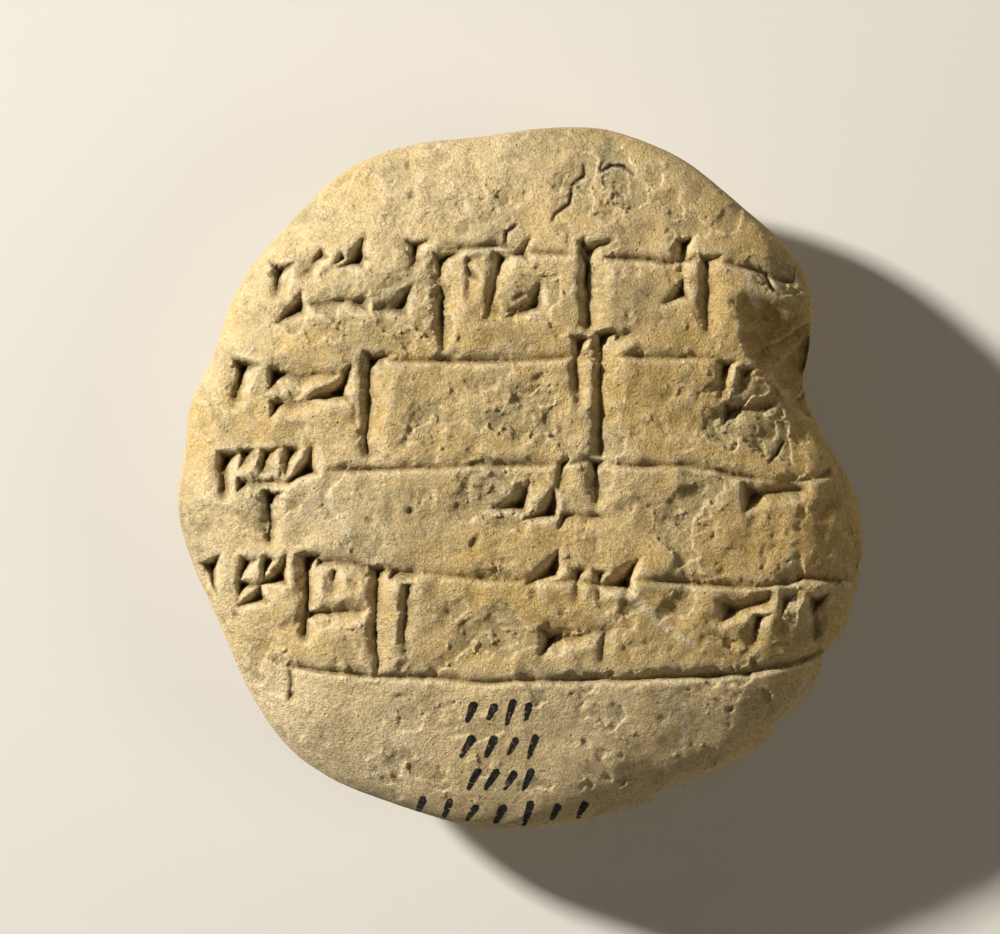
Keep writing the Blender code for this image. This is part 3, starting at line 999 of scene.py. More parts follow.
def open_face(rise: np.ndarray) -> np.ndarray:
    """0 at the rim and 1 on the open face, from heights over the rim's widest line."""
    return ease((rise - RIM_FADE_START) / RIM_FADE)


@dataclass
class Relief:
    """Everything that stands up from the bare face or sinks into it, worked out on a grid.

    Attributes:
        outline: The edge of the face.
        rim_height: The height of the rim's widest line over the table.
        crown: How far the bare face rises above it.
        fullness: How full the face's dome is.
        grid: The grid.
        swell: How much of the pressed clay rises beside the strokes.
        heap_reach: How far it spreads.
        heap_stays: The share of it that isn't pushed aside.
        push: How far the rest is pushed to the right and half as far down.
        lip: How much clay rises as a lip at the strokes' edges.
        lip_reach: How wide the lip is.
        line_swell: How much clay rises beside the ruled lines.
        left_weight: How much deeper the strokes at the left rim are pressed.
        band_top: Where the smooth lower band starts, as a share of the half length.
        band_fade: The length over which it starts.
        band_calm: How much smoother it is.
        wobble: How far the strokes' edges stray from straight.
        crest_rounding: How round the clay's crests are, even the freshest.
        tool_rounding: How blunt the freshest edges are.
        worn_rounding: How blunt the most worn edges are.
        base_wear: How worn the clay is outside the worn patches.
        patch_wear: How much more it is worn inside them.
        flake_edge: How sharply a flaked plate ends.
        flake_step: How far a plate's deep edge lies from its shallow one.
        flake_rise: The share of a plate's thickness that is lost at its shallow edge.
        crumb_height: How tall a crumb stands.
        sand_height: How far the sand stands up, and how much more in worn patches.
        scar_calm: How much of the relief is gone where the flake was lost.
    """

    outline: Outline
    rim_height: float
    crown: float
    fullness: float
    grid: Grid = field(default_factory=Grid)
    swell: float = 0.80
    heap_reach: float = 2.2 * MM
    heap_stays: float = 0.3
    push: float = 2.2 * MM
    lip: float = 0.22
    lip_reach: float = 0.8 * MM
    line_swell: float = 0.7
    left_weight: float = 0.6
    band_top: float = -0.50
    band_fade: float = 0.15
    band_calm: float = 0.45
    wobble: float = 0.09 * MM
    crest_rounding: float = 0.17 * MM
    tool_rounding: float = 0.03 * MM
    worn_rounding: float = 0.40 * MM
    base_wear: float = 0.04
    patch_wear: float = 0.30
    flake_edge: float = 0.05
    flake_step: float = 0.6 * MM
    flake_rise: float = 0.35
    crumb_height: float = 0.12 * MM
    sand_height: tuple[float, float] = (0.012 * MM, 0.010 * MM)
    scar_calm: float = 0.75

    def __post_init__(self) -> None:
        """Works out the layers in the order in which they came to be."""
        grid = self.grid
        self.across = grid.x / (self.outline.width / 2)
        self.along = grid.y / (self.outline.length / 2)
        self.wander_x = grid.x + grid.random(WANDER_X[0]) + grid.random(WANDER_X[1])
        self.wander_y = grid.y + grid.random(WANDER_Y[0]) + grid.random(WANDER_Y[1])
        self.layers: dict[str, np.ndarray] = {}
        self.height = self.weathered(self.pressed())
        self.break_off()
        self.dress()

    def carve(self, marks: list[Mark], wobble: float = 0.0) -> np.ndarray:
        """Cuts marks into an empty layer.

        Args:
            marks: The marks.
            wobble: How far their edges stray.

        Returns:
            How deep the deepest of them is at each point.
        """
        depth = np.zeros(self.grid.x.shape)
        x = self.wander_x + wobble * self.grid.random(WOBBLE_X)
        y = self.wander_y + wobble * self.grid.random(WOBBLE_Y)
        for mark in marks:
            spot = self.grid.cut(mark.window())
            depth[spot] = np.maximum(depth[spot], mark.carve(x[spot], y[spot]))
        return depth

    def pressed(self) -> np.ndarray:
        """Draws the lines and presses the strokes into the soft clay.

        Returns:
            Heights over the bare face.
        """
        grid = self.grid
        strokes = self.carve(Writing(self.outline).press_all(), self.wobble)
        strokes *= 1.0 + self.left_weight * ease(-self.across / 0.5 - 0.7)
        lines = self.carve(RuledLines(self.outline).draw())
        lines *= np.clip(0.95 + grid.random(LINE_PRESSURE), 0.45, 1.3)
        heaped = grid.blur(strokes, self.heap_reach)
        step = round(self.push / grid.pitch)
        pushed_aside = np.roll(heaped, (-step // 2, step), axis=(0, 1))
        heaped = self.heap_stays * heaped + (1.0 - self.heap_stays) * pushed_aside
        pushed = self.swell * heaped + self.lip * grid.blur(strokes, self.lip_reach)
        pushed += self.line_swell * grid.blur(lines, self.heap_reach)
        calm = 1.0 - self.band_calm * ease((self.band_top - self.along) / self.band_fade)
        hand = grid.random(PALM) + calm * grid.random(FINGERS)
        return hand + pushed - np.maximum(strokes, lines)

    def flaked_off(self, flakes: Flakes, cover: np.ndarray) -> np.ndarray:
        """1 where plates have flaked off, from how much the worn patches cover each point."""
        likely = flakes.cover_weight * cover + self.grid.random(flakes.lumps)
        return ease((likely - flakes.rarity) / self.flake_edge)

    def shelled(self, lost: np.ndarray, flakes: Flakes) -> np.ndarray:
        """Makes lost plates deep at their lower right edge and shallower at their upper left."""
        step = round(self.flake_step / self.grid.pitch)
        behind = np.roll(self.grid.blur(lost, 0.45 * MM), (-step, step), axis=(0, 1))
        rise = self.flake_rise + (1.0 - self.flake_rise) * np.clip(behind, 0.0, 1.0)
        return flakes.thickness * (lost * rise)

    def weathered(self, fresh: np.ndarray) -> np.ndarray:
        """Rounds, flakes, cracks and pits the dry clay.

        Args:
            fresh: Heights of the clay as it was written.

        Returns:
            Heights after its wear.
        """
        grid = self.grid
        cover = np.max([patch.cover(self.across, self.along) for patch in WORN_PATCHES], axis=0)
        wear = np.clip(self.base_wear + grid.random(WEAR) + self.patch_wear * cover, 0.0, 0.8)
        sharp = grid.blur(np.minimum(fresh, grid.blur(fresh, self.crest_rounding)), self.tool_rounding)
        height = (1.0 - wear) * sharp + wear * grid.blur(fresh, self.worn_rounding)
        flaked = self.flaked_off(OUTER_FLAKES, cover)
        under = self.flaked_off(UNDER_FLAKES, cover)
        stray = self.flaked_off(STRAY_FLAKES, cover) * ease((self.along + 0.80) / 0.3)
        self.plates = self.shelled(flaked, OUTER_FLAKES) + self.shelled(under, UNDER_FLAKES)
        self.plates += self.shelled(stray, STRAY_FLAKES)
        height += self.crumb_height * ease((grid.random(CRUMBS) - 1.9) / 0.6)
        height += (self.sand_height[0] + self.sand_height[1] * cover) * grid.random(SAND)
        wear = Wear(self.outline)
        cracks = self.carve(wear.crack_paths())
        dents = self.carve(wear.scatter_dents())
        # Cracks and dents, which the finish makes darker by how deep they are: dark earth and painted shade
        self.layers["soil_and_shade"] = np.clip(np.maximum(cracks / (0.35 * MM), dents / (0.45 * MM)), 0.0, 1.0)
        self.layers["worn"] = np.clip(0.45 * cover + 0.55 * flaked, 0.0, 1.0)
        return height - self.plates - cracks - dents

    def break_off(self) -> None:
        """Takes the lost flake off, and fades the relief out at the rim."""
        grid = self.grid
        bare = self.bare_face()
        x, y = grid.x + grid.random(SCAR_X), grid.y + grid.random(SCAR_Y)
        depth = grid.blur(FlakeScar(self.outline).carve(x, y, bare, grid), 0.07 * MM)
        scar = np.clip(depth / (0.7 * MM), 0.0, 1.0)
        self.layers["scar"] = scar
        chipped = depth + scar * grid.random(SCAR_LUMPS)
        self.height = self.height * (1.0 - self.scar_calm * scar) - chipped
        self.height *= open_face(bare - self.rim_height)

    def bare_face(self) -> np.ndarray:
        """Heights of the bare face over the table, on the grid."""
        turn = np.degrees(np.arctan2(self.along, self.across))
        spread = np.hypot(self.across, self.along) / self.outline.share(turn)
        return self.rim_height + self.crown * np.sqrt(np.clip(1.0 - spread**self.fullness, 0.0, 1.0))

    def scratches(self) -> np.ndarray:
        """Where pale scratches rubbed the face."""
        pale = np.zeros(self.grid.x.shape)
        shape = {"above": 0.95 * MM, "below": 0.95 * MM, "line_depth": 1.0, "fade": 0.2, "power": 1.0}
        for scratch in PALE_SCRATCHES:
            path = Path.through(self.outline, scratch, **shape)
            spot = self.grid.cut(path.window())
            pale[spot] = np.maximum(pale[spot], path.carve(self.wander_x[spot], self.wander_y[spot]))
        return pale

    def dress(self) -> None:
        """Reads the finished relief for the clay's finish, including painted highlights on crests and painted
        shade in recesses, and for where the mesh has to be fine.
        """
        grid, height = self.grid, self.height
        whole = height + self.plates
        ink_gap = InkDabs(self.outline).gap(self.wander_x, self.wander_y)
        # Crests, which the finish makes paler: partly dust, partly painted highlight
        self.layers["crest_dust_and_highlight"] = np.clip((height - grid.blur(height, 0.35 * MM)) / (0.14 * MM), 0.0, 1.0)
        # Recesses, which the finish makes darker: painted shade, partly dark earth
        self.layers["hollow"] = np.clip((grid.blur(whole, 0.55 * MM) - whole) / (0.34 * MM), 0.0, 1.0)
        self.layers["scratch"] = self.scratches()
        self.layers["ink_gap"] = ink_gap / MM
        down, across = np.gradient(height, grid.pitch)
        bend = np.abs(np.gradient(down, grid.pitch, axis=0)) + np.abs(np.gradient(across, grid.pitch, axis=1))
        self.detail = grid.blur(np.maximum(bend - 500.0, 40.0), 0.12 * MM)
        self.detail += 300.0 * np.exp(-((ink_gap / (0.2 * MM)) ** 2))


# The uneven back and edge: each layer's height, the size of its lumps, its octaves and its seed
SIDE_LUMPS = (
    (0.22 * MM, 15 * MM, 2, 3.0), (0.07 * MM, 3.2 * MM, 3, 7.0), (0.02 * MM, 0.9 * MM, 2, 1.0),
)
SIDE_SINK = 0.08 * MM
BOX_GAP = 0.01 * MM


@dataclass
class ClayTablet:
    """The lump of clay with everything on it.

    Attributes:
        outline: The edge of the face.
        crown: How far the face rises above the rim's widest line.
        back_depth: How far the rim's widest line lies above the table.
        foot_radius: The radius of the flat spot on the back.
        face_fullness: How full the face's dome is.
        back_fullness: How full the back's dome is.
        coarseness: Subdivisions of the ball that the lump is formed from.
        skin: How far the bare face lies inside the solid, so that lips and bumps stay within it.
        profile_steps: Steps along the domes' profiles.
        splits: How many edges are cut in half in each later pass over the mesh.
        nick_sizes: Each nick's degrees round the outline, its width and its depth in millimetres.
        nick_height: The half height of the nicks.
        nick_need: How finely the mesh is cut round the nicks.
    """

    outline: Outline = field(default_factory=Outline)
    crown: float = 11.0 * MM
    back_depth: float = 15.5 * MM
    foot_radius: float = 13.0 * MM
    face_fullness: float = 3.0
    back_fullness: float = 2.2
    coarseness: int = 6
    skin: float = 0.45 * MM
    profile_steps: int = 2400
    splits: tuple[int, ...] = (33000, 26000, 13500)
    nick_sizes: tuple[Numbers, ...] = ((331, 4.2, 1.5), (317.5, 3.2, 1.15), (295.5, 3.4, 1.2))
    nick_height: float = 5.0 * MM
    nick_need: float = 400.0

    def __post_init__(self) -> None:
        """Works out the relief and the lost pieces before the lump is formed."""
        self.relief = Relief(self.outline, self.back_depth, self.crown - self.skin, self.face_fullness)
        self.nicks = self.lost_chips()

    def lost_chips(self) -> list[Break]:
        """Places the nicks in the rim.

        Returns:
            The nicks.
        """
        nicks = []
        for degrees, width, depth in self.nick_sizes:
            share = float(self.outline.share(np.array([degrees]))[0])
            way = math.radians(degrees)
            x, y = self.outline.place(share * math.cos(way), share * math.sin(way))
            middle = Vector((x, y, self.back_depth))
            focus = Vector((0.85 * x, 0.85 * y, self.back_depth))
            radii = (depth * MM, width / 2 * MM, self.nick_height)
            nicks.append(Break(middle, radii, (0.0, 0.0, way), focus))
        return nicks

    def profile(self, height: float, fullness: float) -> tuple[np.ndarray, np.ndarray]:
        """Even steps along a dome's profile from its middle to its rim.

        Args:
            height: The dome's height.
            fullness: How full the dome is.

        Returns:
            Shares of the radius and shares of the height.
        """
        sweep = np.linspace(0.0, math.pi / 2, self.profile_steps)
        spread = np.sin(sweep) ** (2.0 / fullness)
        level = np.cos(sweep)
        run = np.hypot(np.diff(spread) * self.outline.width / 2, np.diff(level) * height)
        along = np.concatenate([[0.0], np.cumsum(run)])
        even = np.linspace(0.0, along[-1], self.profile_steps)
        return np.interp(even, along, spread), np.interp(even, along, level)

    def back_drop(self) -> float:
        """Depth that the back's full curve would reach, so that it passes the table at the foot's edge."""
        share = self.foot_radius / (self.outline.width / 2)
        return self.back_depth / math.sqrt(1.0 - share**self.back_fullness)

    def lay_out(self, ball: np.ndarray) -> np.ndarray:
        """Moves points of a unit ball to the bare lump.

        Args:
            ball: Points on the ball, one a row.

        Returns:
            Their places on the lump's surface before any mark.
        """
        ball = ball / np.linalg.norm(ball, axis=1)[:, None]
        arc = np.arccos(np.minimum(1.0, np.abs(ball[:, 2]))) / (math.pi / 2)
        front = ball[:, 2] >= 0.0
        steps = np.linspace(0.0, 1.0, self.profile_steps)
        crown, drop = self.crown - self.skin, self.back_drop()
        face = self.profile(crown, self.face_fullness)
        back = self.profile(drop, self.back_fullness)
        spread = np.where(front, np.interp(arc, steps, face[0]), np.interp(arc, steps, back[0]))
        rise, fall = np.interp(arc, steps, face[1]) * crown, np.interp(arc, steps, back[1]) * drop
        level = np.where(front, rise, -fall)
        turn = np.arctan2(ball[:, 1], ball[:, 0])
        share = self.outline.share(np.degrees(turn)) * spread
        x = share * np.cos(turn) * self.outline.width / 2
        y = share * np.sin(turn) * self.outline.length / 2
        return np.stack([x, y, self.back_depth + level], axis=1)

    def refine(self, bm: bmesh.types.BMesh, count: int | None) -> None:
        """Cuts in half the edges over the liveliest relief.

        Args:
            bm: The ball.
            count: How many edges to cut, or None for all on the face.
        """
        edges = bm.edges[:]
        ends = np.array([(e.verts[0].co, e.verts[1].co) for e in edges])
        mid = ends.mean(axis=1)
        mid /= np.linalg.norm(mid, axis=1)[:, None]
        places = self.lay_out(mid)
        rise = places[:, 2] - self.back_depth
        if count is None:
            cut = [edge for edge, up in zip(edges, rise) if up > -1.5 * MM]
        else:
            length = np.linalg.norm(self.lay_out(ends[:, 0]) - self.lay_out(ends[:, 1]), axis=1)
            need = self.relief.grid.read(self.relief.detail, places) * length**2 * ease(rise / (2.0 * MM))
            for lost in self.nicks:
                near = np.abs(lost.spread(places) - 0.5) < 0.9
                need += np.where(near, self.nick_need * length**2, 0.0)
            cut = [edges[i] for i in np.argsort(-need, kind="stable")[:count]]
        bmesh.ops.subdivide_edges(bm, edges=cut, cuts=1)
        bmesh.ops.triangulate(bm, faces=[face for face in bm.faces if len(face.verts) > 3])

    def shaped_mesh(self) -> bpy.types.Mesh:
        """Makes a ball that is fine over the marks, and lays it out as the bare lump.

        Returns:
            The bare lump's mesh.
        """
        bm = bmesh.new()
        bmesh.ops.create_icosphere(bm, subdivisions=self.coarseness, radius=1.0)
        for count in (None, *self.splits):
            self.refine(bm, count)
        mesh = bpy.data.meshes.new("tablet_body")
        bm.to_mesh(mesh)
        bm.free()
        points = np.empty(len(mesh.vertices) * 3)
        mesh.vertices.foreach_get("co", points)
        mesh.vertices.foreach_set("co", self.lay_out(points.reshape(-1, 3)).ravel())
        mesh.update()
        return mesh

    def side_lumps(self, places: np.ndarray) -> np.ndarray:
        """How far the back and the edge stray from their even form at some places."""
        return sum(height * speckle(places, *lumps) for height, *lumps in SIDE_LUMPS) - SIDE_SINK

    def add_layers(self, mesh: bpy.types.Mesh, places: np.ndarray, chipped: np.ndarray) -> None:
        """Writes the relief's layers to the mesh, for the clay's finish and its painted highlights and shade.

        Args:
            mesh: The tablet's mesh.
            places: Its vertices' places on the bare lump.
            chipped: How far each lies inside a nick, from 0 to 1.
        """
        front = open_face(places[:, 2] - self.back_depth)
        for name, layer in self.relief.layers.items():
            value = self.relief.grid.read(layer, places)
            value = np.where(front > 0.02, value, NO_INK) if name == "ink_gap" else value * front
            if name == "scar":
                value = np.maximum(value, 0.35 * chipped)
            attribute = mesh.attributes.new(name, "FLOAT", "POINT")
            attribute.data.foreach_set("value", value.astype(np.float32))

    def form(self) -> bpy.types.Object:
        """Forms the lump, presses its relief, breaks its rim and flattens its foot.

        Returns:
            The finished tablet, without its material.
        """
        mesh = self.shaped_mesh()
        places, normals = (np.empty(len(mesh.vertices) * 3) for _ in range(2))
        mesh.vertices.foreach_get("co", places)
        mesh.vertices.foreach_get("normal", normals)
        places, normals = places.reshape(-1, 3), normals.reshape(-1, 3)
        relief = self.relief.grid.read(self.relief.height, places)
        shaped = places.copy()
        shaped[:, 2] += np.where(places[:, 2] > self.back_depth, relief, 0.0)
        front = open_face(places[:, 2] - self.back_depth)
        side = np.flatnonzero(front < 1.0)
        shaped[side] += normals[side] * (self.side_lumps(places[side]) * (1.0 - front[side]))[:, None]
        chipped = np.zeros(len(places))
        for lost in self.nicks:
            shaped, moved = lost.take_out(shaped)
            chipped = np.maximum(chipped, np.clip(moved / (0.4 * MM), 0.0, 1.0))
        low, high = (np.array(corner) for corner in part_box("clay_tablet"))
        shaped = np.clip(shaped, low + BOX_GAP, high - BOX_GAP)
        shaped[:, 2] = np.where(places[:, 2] < 0.0, 0.0, shaped[:, 2])
        mesh.vertices.foreach_set("co", shaped.ravel())
        self.add_layers(mesh, places, chipped)
        mesh.update()
        mesh.shade_smooth()
        tablet = bpy.data.objects.new("tablet_body", mesh)
        bpy.context.scene.collection.objects.link(tablet)
        return tablet


class NodeBench:
    """A small helper that adds nodes to a material and joins them."""

    def __init__(self, material: bpy.types.Material) -> None:
        """Takes the material's node tree."""
        self.tree = material.node_tree

    def add(self, kind: str, settings: dict[str, object] | None = None, **inputs: object) -> bpy.types.Node:
        """Adds a node.

        Args:
            kind: The node's type.
            settings: Its own properties.
            **inputs: Values or sockets for its inputs, by name with underscores for spaces.

        Returns:
            The node.
        """
        node = self.tree.nodes.new(kind)
        for name, value in (settings or {}).items():
            setattr(node, name, value)
        for name, value in inputs.items():
            socket = node.inputs[int(name[1:])] if name[1:].isdigit() else node.inputs[name.replace("_", " ")]
            self.feed(socket, value)
        return node

    def feed(self, socket: Socket, value: object) -> None:
        """Joins a socket to another socket, or sets its value."""
        if isinstance(value, Socket):
            self.tree.links.new(value, socket)
        else:
            socket.default_value = value

    def attribute(self, name: str) -> Socket:
        """The value of a mesh attribute."""
        return self.add("ShaderNodeAttribute", {"attribute_name": name}).outputs["Fac"]

    def math(self, operation: str, a: object, b: object) -> Socket:
        """A sum of two values."""
        return self.add("ShaderNodeMath", {"operation": operation}, i0=a, i1=b).outputs[0]

    def ramp(
        self, value: object, low: float, high: float, to_low: float = 0.0, to_high: float = 1.0
    ) -> Socket:
        """A value taken from one range to another, and held at its ends."""
        ends = {"From_Min": low, "From_Max": high, "To_Min": to_low, "To_Max": to_high}
        node = self.add("ShaderNodeMapRange", {"interpolation_type": "SMOOTHSTEP"}, Value=value, **ends)
        return node.outputs["Result"]

    def noise(self, where: Socket, size: float, detail: float, roughness: float = 0.55) -> Socket:
        """Smooth random values with lumps of a size in metres."""
        look = {"Scale": 1.0 / size, "Detail": detail, "Roughness": roughness}
        return self.add("ShaderNodeTexNoise", None, Vector=where, **look).outputs["Fac"]

    def grains(self, where: Socket, size: float) -> Socket:
        """Distances to scattered points, a size in metres apart."""
        return self.add("ShaderNodeTexVoronoi", None, Vector=where, Scale=1.0 / size).outputs["Distance"]

    def blend(self, share: object, a: object, b: object, mode: str = "MIX") -> Socket:
        """Two colours mixed by a share."""
        node = self.add("ShaderNodeMix", {"data_type": "RGBA", "blend_type": mode}, i0=share, i6=a, i7=b)
        return node.outputs[2]


# Each noise's size, detail and roughness
BLOTCHES = (22 * MM, 3.0)
BUFF_MOTTLE = (7 * MM, 4.0)
DRAB_MOTTLE = (9.0 * MM, 6.0, 0.68)
WORN_EDGE = (1.4 * MM, 4.0, 0.7)
DUST_MOTTLE = (0.7 * MM, 5.0, 0.75)
INK_EDGE = (0.35 * MM, 3.0)
INK_WEAR = (0.5 * MM, 3.0)
FINE_MOTTLE = (0.36 * MM, 4.0, 0.8)
COARSE_SAND = (0.9 * MM, 6.0, 0.75)
FINE_SAND = (0.21 * MM, 2.0, 0.8)
PLATES = (5.0 * MM, 7.0, 0.62)
FLAKES = (2.2 * MM, 6.0, 0.60)
POLISH = (1.2 * MM, 3.0)

# The spacing of dark grains and pinholes, of light grains and of sand
GRIT_SPACING = 1.5 * MM
LIGHT_SPACING = 1.05 * MM
SAND_SPACING = 0.34 * MM

@dataclass(frozen=True)
class ClayFinish:
    """Dry, sandy clay with worn patches, pale scratches, dark grit and black ink, painted highlights on
    crests and painted shade in recesses.
    """

    pale: tuple[float, ...] = (0.63, 0.50, 0.285, 1.0)
    tan: tuple[float, ...] = (0.55, 0.405, 0.20, 1.0)
    ochre: tuple[float, ...] = (0.51, 0.350, 0.120, 1.0)
    grey: tuple[float, ...] = (0.36, 0.295, 0.155, 1.0)
    fresh: tuple[float, ...] = (0.42, 0.29, 0.095, 1.0)
    # Pale dust, also laid on crests as painted highlight
    dust: tuple[float, ...] = (0.68, 0.58, 0.39, 1.0)
    # Dark earth for grit, also laid in recesses, cracks and dents as painted shade
    soil_and_shade: tuple[float, ...] = (0.10, 0.07, 0.035, 1.0)
    ink: tuple[float, ...] = (0.014, 0.012, 0.010, 1.0)
    roughness: float = 0.88

    def colour(self, bench: NodeBench, where: Socket) -> Socket:
        """Builds up the clay's colour from its blotches, wear, dust, dark earth and ink, with painted
        highlights on crests, painted shade in recesses, cracks and dents, and a tint paler towards the key
        lamp and more ochre away from it.

        Args:
            bench: Where the nodes are added.
            where: Places on the tablet.

        Returns:
            The colour.
        """
        x, y, _ = bench.add("ShaderNodeSeparateXYZ", None, Vector=where).outputs
        # Paler towards the left, where the key lamp stands, and more ochre towards the right: partly the
        # clay's own tone, partly painted light and shade
        blotches = bench.math("ADD", bench.noise(where, *BLOTCHES), bench.ramp(x, -0.036, 0.036, 0.05, -0.05))
        colour = bench.blend(bench.ramp(blotches, 0.36, 0.66), self.ochre, self.pale)
        buff = bench.ramp(bench.noise(where, *BUFF_MOTTLE), 0.34, 0.68, 0.0, 0.65)
        colour = bench.blend(buff, colour, self.tan)
        # More ochre towards the right, away from the key lamp: partly the clay's own tone, partly painted
        # shade
        colour = bench.blend(bench.ramp(x, -0.008, 0.032, 0.0, 0.62), colour, self.ochre)
        colour = bench.blend(bench.ramp(y, -0.0195, -0.0250, 0.0, 0.32), colour, self.dust)
        drab = bench.ramp(bench.noise(where, *DRAB_MOTTLE), 0.48, 0.64, 0.0, 0.65)
        drab = bench.math("MULTIPLY", drab, bench.ramp(x, 0.040, 0.010, 0.6, 1.0))
        colour = bench.blend(drab, colour, self.grey)
        worn = bench.math("ADD", bench.attribute("worn"), bench.noise(where, *WORN_EDGE))
        colour = bench.blend(bench.ramp(worn, 0.75, 1.25, 0.0, 0.60), colour, self.grey)
        # The break gets its own colour, crests pale dust as painted highlight, recesses dark earth as painted
        # shade
        tints = (("scar", 0.75, self.fresh), ("crest_dust_and_highlight", 0.62, self.dust), ("hollow", 0.60, self.soil_and_shade))
        for name, share, tint in tints:
            colour = bench.blend(bench.math("MULTIPLY", bench.attribute(name), share), colour, tint)
        dust = bench.math("MULTIPLY", bench.attribute("scratch"), bench.noise(where, *DUST_MOTTLE))
        colour = bench.blend(bench.ramp(dust, 0.12, 0.38, 0.0, 0.62), colour, self.dust)
        colour = bench.blend(bench.math("MULTIPLY", bench.attribute("soil_and_shade"), 0.55), colour, self.soil_and_shade)
        return self.ink_colour(bench, where, self.grain_colour(bench, where, colour))

    def grain_colour(self, bench: NodeBench, where: Socket, colour: Socket) -> Socket:
        """Speckles a colour with sand: light and dark grains and a fine mottle.

        Args:
            bench: Where the nodes are added.
            where: Places on the tablet.
            colour: The colour so far.

        Returns:
            The speckled colour.
        """
        fine = bench.ramp(bench.noise(where, *FINE_MOTTLE), 0.34, 0.66, 0.77, 1.20)
        grey = bench.add("ShaderNodeCombineColor", None, Red=fine, Green=fine, Blue=fine).outputs[0]
        colour = bench.blend(1.0, colour, grey, "MULTIPLY")
        dark = bench.ramp(bench.grains(where, GRIT_SPACING), 0.10, 0.05, 0.0, 0.5)
        light = bench.ramp(bench.grains(where, LIGHT_SPACING), 0.14, 0.07, 0.0, 0.55)
        return bench.blend(light, bench.blend(dark, colour, self.soil_and_shade), self.dust)

    def ink_colour(self, bench: NodeBench, where: Socket, colour: Socket) -> Socket:
        """Lays the ink dabs over a colour, ragged at their edges and worn thin in places.

        Args:
            bench: Where the nodes are added.
            where: Places on the tablet.
            colour: The colour so far.

        Returns:
            The inked colour.
        """
        ragged = bench.ramp(bench.noise(where, *INK_EDGE), 0.2, 0.8, -0.05, 0.05)
        ink = bench.ramp(bench.math("ADD", bench.attribute("ink_gap"), ragged), 0.05, -0.07)
        thin = bench.ramp(bench.noise(where, *INK_WEAR), 0.25, 0.45, 0.72, 1.0)
        return bench.blend(bench.math("MULTIPLY", ink, thin), colour, self.ink)

    def bump(self, bench: NodeBench, where: Socket) -> Socket:
        """Raises sand grains and sinks pinholes too small for the mesh.

        Args:
            bench: Where the nodes are added.
            where: Places on the tablet.

        Returns:
            The bent normal.
        """
        height = bench.math("MULTIPLY", bench.noise(where, *COARSE_SAND), 1.2)
        for layer, weight in (
            (bench.noise(where, *FINE_SAND), 0.45),
            (bench.math("SUBTRACT", 1.0, bench.grains(where, SAND_SPACING)), 0.16),
            (bench.ramp(bench.noise(where, *PLATES), 0.535, 0.550), 0.28),
            (bench.ramp(bench.noise(where, *FLAKES), 0.600, 0.615), -0.30),
            (bench.ramp(bench.grains(where, GRIT_SPACING), 0.05, 0.14), 0.4),
        ):
            height = bench.math("ADD", height, bench.math("MULTIPLY", layer, weight))
        bump = bench.add("ShaderNodeBump", None, Strength=0.90, Distance=0.42 * MM, Height=height)
        return bump.outputs["Normal"]

    def make(self) -> bpy.types.Material:
        """Makes the clay's material.

        Returns:
            The material, its shader joined to the nodes above.
        """
        material = bpy.data.materials.new("sandy_clay")
        material.use_nodes = True
        bench = NodeBench(material)
        where = bench.add("ShaderNodeTexCoord").outputs["Object"]
        shader = material.node_tree.nodes["Principled BSDF"]
        bench.feed(shader.inputs["Base Color"], self.colour(bench, where))
        least, most = self.roughness - 0.06, self.roughness + 0.08
        bench.feed(shader.inputs["Roughness"], bench.ramp(bench.noise(where, *POLISH), 0.3, 0.7, least, most))
        bench.feed(shader.inputs["Normal"], self.bump(bench, where))
        shader.inputs["Specular IOR Level"].default_value = 0.28
        return material


@dataclass(frozen=True)
class FloorFinish:
    """A pale matt table top."""

    colour: tuple[float, ...] = (0.62, 0.61, 0.59, 1.0)
    roughness: float = 0.8

    def make(self) -> bpy.types.Material:
        """Makes the table's material."""
        material = bpy.data.materials.new("pale_table")
        material.use_nodes = True
        shader = material.node_tree.nodes["Principled BSDF"]
        shader.inputs["Base Color"].default_value = self.colour
        shader.inputs["Roughness"].default_value = self.roughness
        return material


@dataclass(frozen=True)
class Lamp:
    """A soft square lamp that looks at the tablet, its azimuth and elevation in degrees."""

    name: str
    azimuth: float
    elevation: float
    distance: float
    side: float
    power: float
    colour: tuple[float, float, float] = (1.0, 1.0, 1.0)

    def set_up(self, target: Vector) -> bpy.types.Object:
        """Sets up the lamp.

        Args:
            target: Where it looks.

        Returns:
            The lamp's object.
        """
        light = bpy.data.lights.new(self.name, "AREA")
        light.energy = self.power
        light.size = self.side
        light.color = self.colour
        lamp = bpy.data.objects.new(self.name, light)
        up, round_ = math.radians(self.elevation), math.radians(self.azimuth)
        way = Vector((math.cos(up) * math.cos(round_), math.cos(up) * math.sin(round_), math.sin(up)))
        lamp.location = target + way * self.distance
        lamp.rotation_euler = way.to_track_quat("Z", "Y").to_euler()
        bpy.context.scene.collection.objects.link(lamp)
        return lamp


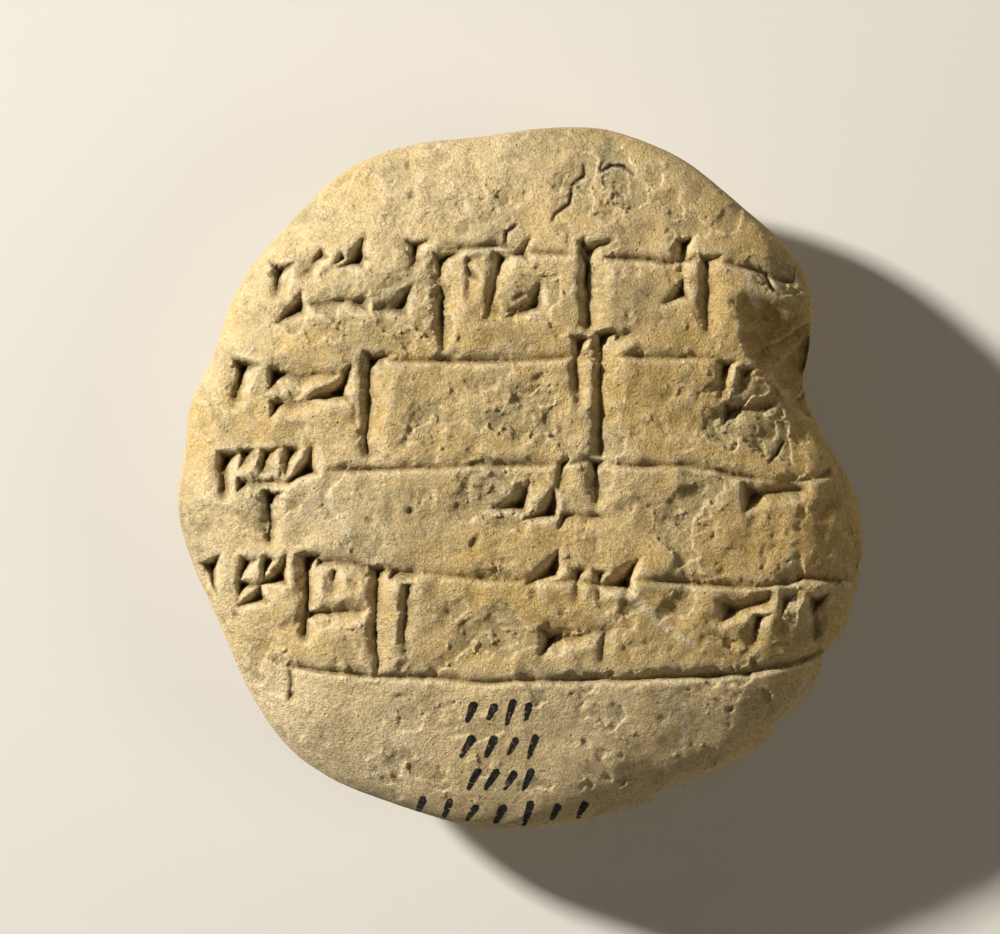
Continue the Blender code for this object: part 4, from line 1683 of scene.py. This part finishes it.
@dataclass
class Studio:
    """The table, the lamps and a camera that looks down; its lens and sensor are in millimetres."""

    lens: float = 250.0
    sensor: float = 36.0
    rim_height: float = 15.5 * MM
    lamps: tuple[Lamp, ...] = (
        Lamp("key_lamp", 151.0, 29.0, 1.15, 0.09, 28.5, (1.0, 0.95, 0.86)),
        Lamp("fill_lamp", -12.0, 42.0, 0.80, 0.36, 1.3, (1.0, 0.87, 0.66)),
    )
    ambient: float = 0.05

    def lay_table(self) -> bpy.types.Object:
        """Lays the pale table top under the tablet.

        Returns:
            The table top.
        """
        bm = bmesh.new()
        bmesh.ops.create_grid(bm, x_segments=8, y_segments=8, size=0.9)
        mesh = bpy.data.meshes.new("table_top")
        bm.to_mesh(mesh)
        bm.free()
        table = bpy.data.objects.new("table_top", mesh)
        table.data.materials.append(FloorFinish().make())
        bpy.context.scene.collection.objects.link(table)
        return table

    def place_camera(self) -> bpy.types.Object:
        """Places the camera over the tablet, with the tablet where the photograph has it.

        Returns:
            The camera.
        """
        camera = bpy.data.cameras.new("camera")
        camera.lens = self.lens
        camera.sensor_width = self.sensor
        eye = bpy.data.objects.new("camera", camera)
        distance = FRAME_SIZE[0] * PIXEL * self.lens / self.sensor
        x = (FRAME_SIZE[0] / 2 - TABLET_MIDDLE[0]) * PIXEL
        y = (TABLET_MIDDLE[1] - FRAME_SIZE[1] / 2) * PIXEL
        eye.location = (x, y, self.rim_height + distance)
        bpy.context.scene.collection.objects.link(eye)
        bpy.context.scene.camera = eye
        return eye

    def set_world(self) -> None:
        """Gives the room a faint even light."""
        world = bpy.data.worlds.new("room")
        world.use_nodes = True
        background = world.node_tree.nodes["Background"]
        background.inputs["Color"].default_value = (1.0, 0.98, 0.95, 1.0)
        background.inputs["Strength"].default_value = self.ambient
        bpy.context.scene.world = world

    def set_up(self) -> None:
        """Sets up the table, the lamps, the world and the camera."""
        self.lay_table()
        for lamp in self.lamps:
            lamp.set_up(Vector((0.0, 0.0, self.rim_height)))
        self.set_world()
        self.place_camera()
        bpy.context.scene.view_settings.view_transform = "Standard"


def main() -> None:
    """Builds the studio and the tablet."""
    logging.basicConfig(level=logging.INFO, format="%(message)s")
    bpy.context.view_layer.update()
    Studio().set_up()
    log.info("studio set up")
    tablet = ClayTablet().form()
    tablet.data.materials.append(ClayFinish().make())
    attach(tablet, "root")
    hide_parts("clay_tablet")
    log.info("tablet_body: %d triangles", len(tablet.data.polygons))


if __name__ == "__main__":
    main()
